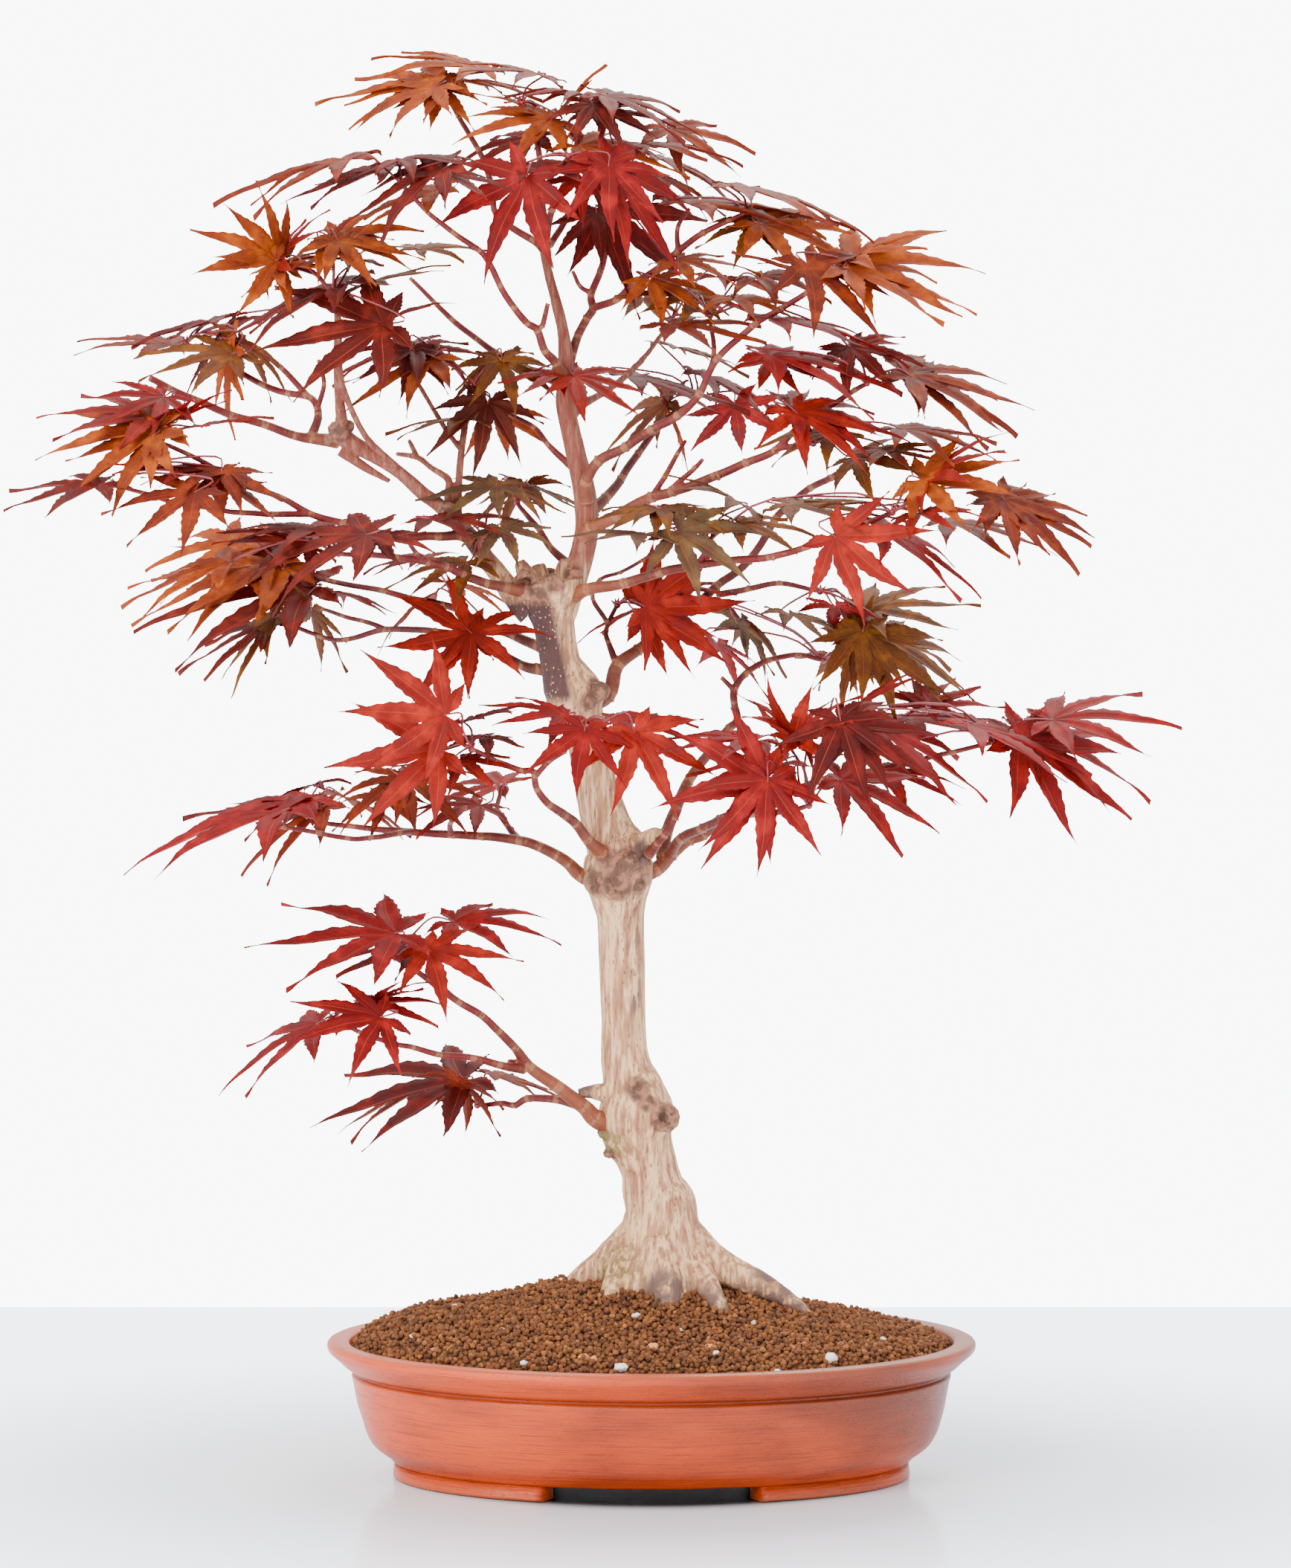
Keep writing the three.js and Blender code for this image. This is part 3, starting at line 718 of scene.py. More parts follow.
def smooth(mesh: Mesh) -> None:
    """Shade a mesh smooth."""
    mesh.polygons.foreach_set("use_smooth", [True] * len(mesh.polygons))


def hold(piece: Object, nodes: Sequence[str]) -> Object:
    """Tie a finished piece to the frame.

    Args:
        piece: the finished object.
        nodes: the CAD nodes that it stands for.

    Returns:
        The same object.
    """
    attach(piece, "root")
    if nodes:
        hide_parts(*nodes)
    LOG.info("%s: %d faces", piece.name, len(piece.data.polygons))
    return piece


@dataclass
class Sweep:
    """A round bar of changing thickness along a smooth route."""

    stations: list[tuple[Vector, float]]
    sides: int = 10
    per_span: int = 5
    wander: float = 0.0
    seed: float = 0.0
    kinks: float = 60.0

    def point(self, span: int, share: float) -> Vector:
        """Give a point of the smooth curve.

        Args:
            span: which span between two stations.
            share: how far along that span, from 0 to 1.

        Returns:
            The point.
        """
        places = [place for place, _ in self.stations]
        last = len(places) - 1
        start, end = places[span], places[span + 1]
        before = places[span - 1] if span > 0 else start * 2 - end
        after = places[span + 2] if span + 2 <= last else end * 2 - start
        leave = (end - before) / 2
        arrive = (after - start) / 2
        square, cube = share ** 2, share ** 3
        return (
            start * (2 * cube - 3 * square + 1)
            + leave * (cube - 2 * square + share)
            + end * (3 * square - 2 * cube)
            + arrive * (cube - square)
        )

    def line(self) -> list[Ring]:
        """List the bar's rings.

        Returns:
            Each ring's centre, its radius, and its nearness to a station from 0 to 1.
        """
        rings = []
        for span in range(len(self.stations) - 1):
            steps = self.per_span + (span == len(self.stations) - 2)
            for step in range(steps):
                share = step / self.per_span
                centre = self.point(span, share)
                drift = noise.noise_vector(centre * self.kinks + Vector((self.seed, 0, 0)))
                centre = centre + drift * self.wander
                radius = mix(self.stations[span][1], self.stations[span + 1][1], share)
                near = max(0.0, 1 - min(share, 1 - share) * self.per_span / 1.2)
                rings.append((centre, radius, near))
        return rings

    def build(self, shape: BMesh) -> None:
        """Add the bar to a shape as bridged rings with closed ends.

        Args:
            shape: the shape that gets the bar.
        """
        rings = self.line()
        previous = None
        for index, (centre, radius, _) in enumerate(rings):
            ahead = rings[min(index + 1, len(rings) - 1)][0]
            behind = rings[max(index - 1, 0)][0]
            turn = (ahead - behind).normalized().to_track_quat("Z", "Y").to_matrix().to_4x4()
            ends = index in (0, len(rings) - 1)
            made = bmesh.ops.create_circle(
                shape, cap_ends=ends, segments=self.sides, radius=radius,
                matrix=Matrix.Translation(centre) @ turn,
            )
            edges = list({edge for vertex in made["verts"] for edge in vertex.link_edges})
            edges = [edge for edge in edges if len(edge.link_faces) <= 1]
            if previous:
                bmesh.ops.bridge_loops(shape, edges=previous + edges)
            previous = [edge for edge in edges if edge.is_valid]


def swept_mesh(sweeps: Iterable[Sweep], name: str) -> Mesh:
    """Build several bars into one mesh.

    Args:
        sweeps: the bars.
        name: the mesh's name.

    Returns:
        The mesh, with every bar closed and facing out.
    """
    whole = bmesh.new()
    for sweep in sweeps:
        part = bmesh.new()
        sweep.build(part)
        bmesh.ops.recalc_face_normals(part, faces=part.faces)
        add_to(whole, part)
    return mesh_of(whole, name)


def fused(mesh: Mesh, name: str, voxel: float, soften: int) -> Object:
    """Melt overlapping bars into one skin.

    Args:
        mesh: the overlapping bars.
        name: the new piece's name.
        voxel: the remesh's cell, in metres.
        soften: how many smoothing passes follow.

    Returns:
        The fused piece.
    """
    piece = new_piece(name, mesh)
    remesh = piece.modifiers.new("fuse", "REMESH")
    remesh.mode = "VOXEL"
    remesh.voxel_size = voxel
    if soften:
        relax = piece.modifiers.new("soften", "SMOOTH")
        relax.factor = 0.5
        relax.iterations = soften
    return applied(piece)


def point_values(mesh: Mesh, name: str, values: list[float]) -> None:
    """Store one number for each vertex."""
    mesh.attributes.new(name, "FLOAT", "POINT").data.foreach_set("value", values)


# ---- pot
@dataclass
class Pot:
    """The oval pot: a turned wall drawn out to an oval, on two C-shaped feet."""

    waist: float = 62.0
    core: float = 140.0
    turns: int = 224
    hole_x: float = 85.0
    hole_radius: float = 11.0
    foot_outer: float = 152.0
    foot_inner: float = 136.0
    foot_gap: float = 60.0
    foot_height: float = 8.8
    foot_steps: int = 72
    floor_top: float = 17.0
    marked: tuple[float, float] = (11.0, 60.0)
    marked_reach: float = 150.0
    heel_reach: float = 153.0
    mark_depth: float = 0.28
    wave_depth: float = 0.5
    wall: tuple[tuple[float, float], ...] = (
        (0, 8.5), (60, 8.5), (110, 8.5), (140, 8.5), (148, 8.5), (151.2, 9.1), (152.8, 10.6),
        (155, 13), (158.6, 15.4), (162, 18), (164.3, 20.4), (166, 23), (167.9, 27), (169.3, 31),
        (170.4, 35), (171.3, 38), (172.4, 42), (173.2, 46), (174, 50), (174.8, 54), (175.6, 57.6),
        (176.1, 59.6), (175.9, 60.7), (174.9, 61.3), (174.0, 61.9), (173.7, 62.6), (174.2, 63.3),
        (175.6, 63.9), (177.6, 64.7), (179.6, 66), (181.8, 68), (184, 70.2), (186.6, 72.4),
        (188.9, 74.4), (190.1, 76), (190.5, 77.6), (190.3, 79.2), (189.4, 80.5), (188, 81.2),
        (186, 81.5), (183.6, 81.5), (181.2, 81.3), (179.2, 80.9), (178, 80.3), (177.4, 79.5),
        (177, 78.4), (175.4, 74), (170, 60), (165, 40), (158, 26), (152, 20), (146, 17),
        (110, 17), (60, 17), (0, 17),
    )

    def ovalise(self, vertex: BMVert) -> None:
        """Draw a round turning's vertex in, so that the pot is shorter front to back.

        Args:
            vertex: the vertex, in millimetres.
        """
        reach = math.hypot(vertex.co.x, vertex.co.y)
        held = max(reach, self.core)
        vertex.co.y *= (held - self.waist) / held

    def turned(self, line: Sequence[tuple[float, float]], start: float, sweep: float,
               steps: int) -> BMesh:
        """Spin a profile round the pot's axis.

        Args:
            line: the profile's points, each a reach and a height.
            start: the angle at which the spin starts, in radians.
            sweep: the angle it goes through; a full turn closes on itself.
            steps: how many steps the spin takes.

        Returns:
            The spun shape in millimetres, drawn out to the oval.
        """
        shape = bmesh.new()
        full = abs(sweep - math.tau) < 1e-6
        points = [shape.verts.new((reach, 0, height)) for reach, height in line]
        edges = [shape.edges.new(pair) for pair in zip(points, points[1:])]
        bmesh.ops.rotate(shape, verts=points, cent=(0, 0, 0),
                         matrix=Matrix.Rotation(start, 3, "Z"))
        bmesh.ops.spin(shape, geom=points + edges, cent=(0, 0, 0), axis=(0, 0, 1),
                       angle=sweep, steps=steps, use_merge=full)
        bmesh.ops.remove_doubles(shape, verts=shape.verts, dist=0.001)
        if not full:
            bmesh.ops.holes_fill(shape, edges=[e for e in shape.edges if e.is_boundary])
        for vertex in shape.verts:
            self.ovalise(vertex)
        bmesh.ops.recalc_face_normals(shape, faces=shape.faces)
        return shape

    def tool_marks(self, shape: BMesh) -> None:
        """Press the shallow wavy marks of the finishing tool into the outside wall.

        Args:
            shape: the turned pot, in millimetres.
        """
        for vertex in shape.verts:
            x, y, z = vertex.co
            reach = math.hypot(x, y)
            low, high = self.marked
            if reach < self.marked_reach or not low < z < high:
                continue
            if z < self.floor_top and reach < self.heel_reach:
                continue
            round_it = math.atan2(y, x) * 160
            mark = noise.noise(Vector((round_it / 14, z / 2.2, 3.0)))
            slow = noise.noise(Vector((round_it / 70, z / 22, 9.0)))
            push = self.mark_depth * mark * clip((z - 20) / 15) + self.wave_depth * slow
            vertex.co += Vector((x, y, 0)).normalized() * push

    def body(self) -> Object:
        """Build the wall and floor, with the two drainage holes cut through.

        Returns:
            The pot without its feet, in millimetres.
        """
        shape = self.turned(self.wall, 0.0, math.tau, self.turns)
        self.tool_marks(shape)
        piece = new_piece("pot_body", mesh_of(shape, "pot_body"))
        for side in (-1, 1):
            drill = bmesh.new()
            bmesh.ops.create_cone(
                drill, cap_ends=True, segments=48, radius1=self.hole_radius,
                radius2=self.hole_radius, depth=40,
                matrix=Matrix.Translation((side * self.hole_x, 0, 12)),
            )
            tool = new_piece("drill", mesh_of(drill, "drill"))
            cut = piece.modifiers.new("hole", "BOOLEAN")
            cut.operation = "DIFFERENCE"
            cut.solver = "EXACT"
            cut.object = tool
            applied(piece)
            bpy.data.objects.remove(tool)
        return piece

    def feet(self) -> BMesh:
        """Build the two C-shaped feet, open at the front and the back.

        Returns:
            Both feet, in millimetres.
        """
        opening = math.acos(self.foot_gap / ((self.foot_outer + self.foot_inner) / 2))
        low, high = 0.0, self.foot_height
        outer, inner = self.foot_outer, self.foot_inner
        ring = (
            (inner, high), (inner, low + 1.0), (inner + 1.0, low), (outer - 1.4, low),
            (outer - 0.3, low + 0.5), (outer, low + 1.6), (outer - 0.8, high), (inner, high),
        )
        both = bmesh.new()
        for facing in (0.0, math.pi):
            add_to(both, self.turned(ring, facing - opening, 2 * opening, self.foot_steps))
        return both

    def build(self) -> Object:
        """Build the pot and dress it.

        Returns:
            The finished pot.
        """
        piece = self.body()
        whole = self.feet()
        whole.from_mesh(piece.data)
        to_table(whole)
        piece.data = mesh_of(whole, "pot_body")
        smooth(piece.data)
        sharpen = piece.modifiers.new("keep_edges", "WEIGHTED_NORMAL")
        sharpen.keep_sharp = True
        piece.data.materials.append(ClayFinish().make())
        return hold(applied(piece), ["pot"])


@dataclass
class DrainageScreens:
    """The plastic mesh discs over the drainage holes, bars both ways in a ring."""

    radius: float = 16.0
    base: float = 17.3
    thick: float = 0.8
    pitch: float = 2.6
    bar: float = 0.8

    def build(self, side: int, name: str) -> Object:
        """Build one screen.

        Args:
            side: -1 for the left hole and 1 for the right hole.
            name: the CAD node that the screen stands for.

        Returns:
            The finished screen.
        """
        shape = bmesh.new()
        centre = Vector((side * Pot.hole_x, 0, self.base + self.thick / 2))
        count = int(self.radius / self.pitch)
        for turn in (0.0, math.pi / 2):
            for index in range(-count, count + 1):
                offset = index * self.pitch
                length = 2 * math.sqrt(self.radius ** 2 - offset ** 2)
                size = Matrix.Diagonal((length, self.bar, self.thick * 0.9, 1))
                spot = Matrix.Translation(centre) @ Matrix.Rotation(turn, 4, "Z")
                bmesh.ops.create_cube(
                    shape, size=1.0, matrix=spot @ Matrix.Translation((0, offset, 0)) @ size
                )
        to_table(shape)
        piece = new_piece(f"mesh_disc_{'left' if side < 0 else 'right'}",
                          mesh_of(shape, "mesh_disc"))
        piece.data.materials.append(ScreenFinish().make())
        return hold(piece, [name])


# ---- soil
# Stray stones: x and height on the drawing, size in millimetres, colour.
WHITE, AMBER, CREAM, ROSE = (paint(226, 218, 206), paint(206, 132, 76), paint(216, 188, 150),
                             paint(168, 84, 72))
PEBBLES = (
    (-115, 110, 4.2, WHITE), (-75, 76, 4.4, WHITE), (-18, 73, 7.5, WHITE), (-9, 104, 5.6, WHITE),
    (38, 82, 4.6, WHITE), (105, 78, 8.4, WHITE), (74, 71, 4.4, WHITE), (38, 112, 5.0, WHITE),
    (-40, 79, 6.4, AMBER), (-34, 78, 5.0, AMBER), (1, 85, 6.6, AMBER), (34, 85, 5.6, AMBER),
    (45, 124, 6.0, AMBER), (70, 127, 3.6, CREAM), (-53, 130, 4.0, CREAM), (90, 88, 4.4, ROSE),
    (111, 87, 4.0, ROSE), (-140, 92, 3.8, CREAM), (-88, 96, 3.4, WHITE), (60, 100, 3.6, CREAM),
    (136, 90, 3.6, WHITE), (-60, 100, 3.4, AMBER), (18, 96, 3.2, CREAM), (-128, 84, 3.6, ROSE),
)


@dataclass
class SoilBed:
    """The mound of clay grains, its loose top layer and its stray stones."""

    rim_reach: float = 176.2
    spacing: float = 3.1
    lean: float = 4.5
    mound: tuple[tuple[float, float], ...] = (
        (0, 117), (40, 114.5), (55, 113), (80, 106), (100, 101), (120, 97), (140, 93),
        (158, 87.5), (168, 83.5), (176.2, 76.5),
    )
    seed: int = 11
    batch: int = 90
    row_step: float = 0.866
    bare_radius: float = 20.0
    second_grains: float = 0.2

    def reach(self, x: float, y: float) -> float:
        """Say how far out a point lies.

        Args:
            x: distance right of the pot's middle, in millimetres.
            y: distance behind it.

        Returns:
            The half length of the pot's oval through the point.
        """
        low, high = 0.0, 260.0
        for _ in range(22):
            middle = (low + high) / 2
            held = max(middle, Pot.core)
            across = middle * (held - Pot.waist) / held
            inside = (x / max(middle, 1e-6)) ** 2 + (y / max(across, 1e-6)) ** 2 < 1
            low, high = (low, middle) if inside else (middle, high)
        return high

    def height(self, x: float, y: float) -> float:
        """Give the mound's height over a point.

        Args:
            x: distance right of the pot's middle, in millimetres.
            y: distance behind it.

        Returns:
            The height above the table, in millimetres.
        """
        out = min(self.reach(x, y), self.mound[-1][0])
        for (near, top), (far, bottom) in zip(self.mound, self.mound[1:]):
            if out <= far:
                level = mix(top, bottom, (out - near) / (far - near))
                break
        tilt = self.lean * x / self.rim_reach * min(1.0, (self.rim_reach - out) / 30 + 0.1)
        rough = 1.6 * noise.noise(Vector((x / 23, y / 23, 5.0)))
        return level - tilt + rough * min(1.0, (self.rim_reach - out) / 12)

    def bed(self) -> BMesh:
        """Build the closed body of packed soil under the loose grains.

        Returns:
            The body, in millimetres.
        """
        line = [(0, 17.3), (145, 17.3), (157, 26.3), (169.4, 60), (175.6, 75)]
        line += [(reach, 90.0) for reach, _ in reversed(self.mound)]
        shape = Pot().turned(line, 0.0, math.tau, 96)
        for vertex in shape.verts:
            if vertex.co.z > 89:
                vertex.co.z = self.height(vertex.co.x, vertex.co.y) - 1.6
        return shape

    def grain_moulds(self, count: int, rng: random.Random) -> list[Mesh]:
        """Make a few lumpy grains of unit radius to repeat.

        Args:
            count: how many differ.
            rng: where their lumps come from.

        Returns:
            The grains' meshes.
        """
        moulds = []
        for _ in range(count):
            shape = bmesh.new()
            bmesh.ops.create_icosphere(shape, subdivisions=1, radius=1.0)
            for vertex in shape.verts:
                vertex.co *= rng.uniform(0.76, 1.16)
            moulds.append(mesh_of(shape, "grain_mould"))
        return moulds

    def scatter(self, rng: random.Random) -> list[tuple[Vector, float]]:
        """Scatter the loose grains over the mound.

        Args:
            rng: where their places come from.

        Returns:
            Each grain's place and radius, in millimetres.
        """
        grains = []
        rows = int(240 / (self.spacing * self.row_step))
        for row in range(-rows // 2, rows // 2 + 1):
            for column in range(-60, 61):
                x = (column + 0.5 * (row % 2)) * self.spacing + rng.uniform(-1.0, 1.0)
                y = row * self.spacing * self.row_step + rng.uniform(-1.0, 1.0)
                out = self.reach(x, y)
                if out > self.rim_reach - 0.6 or math.hypot(x - 5, y) < self.bare_radius:
                    continue
                size = rng.uniform(1.35, 2.15)
                lift = rng.uniform(-0.9, 0.9)
                grains.append((Vector((x, y, self.height(x, y) + lift)), size))
                if rng.random() < self.second_grains:
                    spot = Vector((x + rng.uniform(-2, 2), y + rng.uniform(-2, 2), 0))
                    if self.reach(spot.x, spot.y) < self.rim_reach - 3:
                        spot.z = self.height(spot.x, spot.y) + rng.uniform(1.4, 2.6)
                        grains.append((spot, rng.uniform(1.1, 1.9)))
        return grains

    def build_soil(self) -> Object:
        """Build the bed with its loose grains as one piece.

        Returns:
            The finished piece.
        """
        rng = random.Random(self.seed)
        moulds = self.grain_moulds(9, rng)
        whole = self.bed()
        tones = [0.15] * len(whole.verts)
        grains = self.scatter(rng)
        for start in range(0, len(grains), self.batch):
            handful = bmesh.new()
            for place, size in grains[start:start + self.batch]:
                mould = rng.choice(moulds).copy()
                turn = Matrix.Rotation(rng.uniform(0, math.tau), 4, Vector((
                    rng.uniform(-1, 1), rng.uniform(-1, 1), rng.uniform(-1, 1))).normalized())
                mould.transform(Matrix.Translation(place) @ turn @ Matrix.Scale(size, 4))
                handful.from_mesh(mould)
                bpy.data.meshes.remove(mould)
                tones += [clip(rng.gauss(0.42, 0.2))] * 12
            add_to(whole, handful)
        to_table(whole)
        piece = new_piece("soil_grains", mesh_of(whole, "soil_grains"))
        point_values(piece.data, "grain_tone", tones)
        piece.data.materials.append(GrainFinish().make())
        return hold(piece, ["soil"])

    def on_mound(self, x: float, height: float) -> Vector:
        """Find where a drawn point lies on the mound's front slope, in millimetres.

        Args:
            x: distance right on the drawing.
            height: height on the drawing.

        Returns:
            The point on the mound, measured from the pot's middle.
        """
        for depth in range(-114, 30):
            spot = (DRAWING.place(x, height, depth) - DRAWING.middle) / MM
            if self.reach(spot.x, spot.y) < self.rim_reach - 2:
                if self.height(spot.x, spot.y) >= spot.z:
                    return spot
        return Vector((x, 0, self.height(x, 0)))

    def build_pebbles(self) -> Object:
        """Build the stray stones, lumpy and half sunk among the grains.

        Returns:
            The finished piece.
        """
        rng = random.Random(self.seed + 1)
        whole = bmesh.new()
        tints = []
        for x, height, size, tint in PEBBLES:
            stone = bmesh.new()
            bmesh.ops.create_icosphere(stone, subdivisions=3, radius=1.0)
            phase = Vector((rng.uniform(0, 50), rng.uniform(0, 50), rng.uniform(0, 50)))
            for vertex in stone.verts:
                vertex.co *= 1 + 0.34 * noise.noise(vertex.co * 1.3 + phase)
                vertex.co *= 1 + 0.06 * noise.noise(vertex.co * 5 + phase)
            spot = self.on_mound(x, height) + Vector((0, 0, size * 0.12))
            flat = Matrix.Diagonal((size / 2, size / 2, size / 2 * rng.uniform(0.6, 0.85), 1))
            turn = Matrix.Rotation(rng.uniform(0, math.tau), 4, "Z")
            bmesh.ops.transform(stone, matrix=Matrix.Translation(spot) @ turn @ flat,
                                verts=stone.verts)
            tints += list(tint) * len(stone.verts)
            add_to(whole, stone)
        to_table(whole)
        piece = new_piece("stray_pebbles", mesh_of(whole, "stray_pebbles"))
        layer = piece.data.attributes.new("pebble_tint", "FLOAT_COLOR", "POINT")
        layer.data.foreach_set("color", tints)
        smooth(piece.data)
        piece.data.materials.append(PebbleFinish().make())
        return hold(piece, [])


# ---- trunk and limb
@dataclass(frozen=True)
class Knot:
    """A healed cut or burr on the wood: x, height, depth, radius, and how it is shaped."""

    x: float
    height: float
    depth: float
    radius: float
    ring: bool = True


TRUNK_LINE = (
    (4, 92, 0, 74), (6, 112, 0, 68), (6, 128, 0, 64), (6, 140, 0, 57), (6, 150, 0, 48.5),
    (5.5, 160, 0, 45), (5, 170, 0, 42.5), (1, 180, 0, 37.5), (-1, 190, 0, 34), (-4, 200, 0, 35.5),
    (-7.5, 210, 0, 41), (-8.5, 220, 0, 46), (-9.5, 230, 0, 43), (-11, 240, 0, 36),
    (-14, 250, 0, 30), (-16, 262, 0, 27.5), (-16.5, 280, 0, 26), (-17, 300, 0, 27),
    (-17.5, 320, 0, 27), (-18, 340, 0, 28), (-19, 350, 0, 32.5), (-19.5, 360, 0, 40),
    (-19.5, 370, 0, 41), (-20.5, 380, 0, 37), (-24, 388, 0, 31), (-28, 400, 0, 28),
    (-33, 420, 0, 25), (-37, 440, 0, 23), (-40, 452, 0, 26), (-44, 462, 0, 33),
    (-45, 470, 0, 35), (-49, 478, 0, 31), (-53, 488, 0, 24), (-55, 500, 0, 22.5),
    (-57, 512, 0, 25), (-58, 520, 0, 32), (-59, 528, 0, 42), (-60, 536, 0, 44),
)
LEADER_LINE = (
    (-54, 520, 0, 24), (-47, 534, 0, 17), (-41, 550, 0, 14.5), (-38, 565, 0, 14),
    (-38, 578, 0, 13.6), (-39.5, 590, 0, 13), (-44, 610, 0, 12.2), (-48.5, 630, 0, 11.4),
    (-50, 642, 0, 11.4), (-50, 655, 0, 9), (-50, 670, 0, 8.5), (-52, 685, 0, 7.2),
    (-56, 700, 0, 6.2), (-60, 716, 0, 5.6), (-62, 728, 0, 6.2),
)
ROOT_LINES = (
    ((-8, 150, 0, 28), (-22, 137, 0, 25), (-38, 126, 2, 19), (-52, 115, 4, 14),
     (-66, 102, 6, 9)),
    ((14, 156, 0, 28), (30, 139, -4, 26), (50, 129, -8, 19), (68, 121, -10, 15),
     (84, 111, -12, 10), (98, 98, -12, 6)),
    ((4, 148, -10, 26), (8, 124, -18, 22), (10, 102, -26, 16), (12, 82, -32, 10)),
    ((0, 150, 10, 26), (-6, 130, 26, 20), (-10, 100, 42, 12)),
    ((22, 142, -6, 18), (34, 120, -20, 14), (46, 98, -30, 8)),
    ((-14, 140, -6, 18), (-24, 118, -18, 13), (-32, 96, -26, 8)),
)
BACK_SHOOT_LINE = (
    (-46, 632, 2, 6), (-38, 640, 8, 5), (-25, 647, 20, 4), (-5, 665, 45, 3.6), (12, 688, 60, 3),
)
SPURS = (
    ((-52, 536, -2, 12), (-51, 545, -3, 9), (-50, 549, -3, 5)),
    ((-68, 532, -3, 13), (-74, 542, -4, 11), (-77, 548, -4, 7)),
    ((-64, 536, 3, 12), (-66, 546, 4, 8)),
    ((-25, 236, -4, 12), (-36, 237, -6, 8), (-43, 236, -6, 6)),
    ((-4, 384, -4, 12), (2, 388, -6, 9), (6, 389, -6, 6)),
)
TRUNK_KNOTS = (
    Knot(8, 222, -20, 6.4), Knot(-8, 238, -17, 5.0), Knot(-2, 230, -19, 4.0, False),
    Knot(-28, 213, -9, 4.2, False), Knot(-25, 201, -9, 3.6, False),
    Knot(-31, 361, -12, 6.5), Knot(-20, 360, -17, 7.6), Knot(-14, 372, -18, 6.6, False),
    Knot(-26, 374, -16, 5.5, False), Knot(-5, 370, -14, 5.6, False), Knot(-8, 358, -14, 4.4, False),
    Knot(-30, 472, -11, 6.2, False), Knot(-73, 534, -14, 6.2), Knot(-57, 536, -19, 5.4, False),
    Knot(-46, 540, -8, 4.2, False), Knot(-65, 528, -17, 5.0, False), Knot(-36, 466, -13, 4.2, False),
    Knot(-14, 384, 12, 6.0), Knot(-60, 534, 18, 7.0), Knot(-8, 226, 19, 6.4), Knot(-20, 366, 18, 7.0),
)
LIMB_LINE = (
    (-70, 518, 0, 18), (-80, 528, 0, 14.5), (-89, 540, 0, 12), (-97, 550, 0, 11),
    (-105, 561, 0, 10.4), (-113, 570, 0, 9.8), (-122, 579, 0, 9), (-134, 588, 0, 8.2),
    (-145, 598, 0, 7.6), (-158, 607, 0, 8.4), (-170, 614, 0, 9.6), (-178, 619, 0, 11),
    (-183, 623, 0, 12),
)
LIMB_SPURS = (
    ((-117, 576, 2, 6), (-118.5, 586, 5, 5), (-118, 595, 8, 4.6), (-128, 602, 16, 3.8),
     (-136, 608, 24, 3.4), (-148, 610, 34, 3)),
    ((-136, 608, 24, 3.2), (-141, 618, 28, 2.6)),
    ((-113, 572, 2, 6), (-112, 594, 6, 4.8), (-110, 615, 10, 4.4), (-107, 634, 16, 3.8),
     (-105, 648, 20, 3.2)),
    ((-105, 646, 19, 3.2), (-96, 657, 20, 3), (-88, 664, 20, 2.6)),
    ((-112, 614, 9, 3.6), (-120, 625, 12, 3), (-135, 650, 16, 2.6)),
    ((-179, 620, -2, 9), (-181, 640, -12, 6), (-182, 661, -20, 5.4), (-182, 690, -28, 4.2),
     (-185, 702, -30, 3.4)),
    ((-148, 602, -2, 5), (-166, 620, -8, 4.2), (-178, 645, -16, 3.8), (-181, 660, -20, 3.6)),
    ((-181, 612, 1, 7), (-166, 602, 2, 5), (-152, 594, 2, 3.4)),
    ((-95, 548, -3, 6), (-99, 556, -7, 5), (-97, 562, -9, 4)),
)
LIMB_KNOTS = (
    Knot(-183, 624, -5, 5.4, False), Knot(-188, 618, -3, 3.8, False),
    Knot(-176, 626, -4, 4.0, False), Knot(-118, 578, -4, 4.8, False),
    Knot(-110, 568, -5, 3.8, False), Knot(-103, 557, -5, 3.4, False),
)


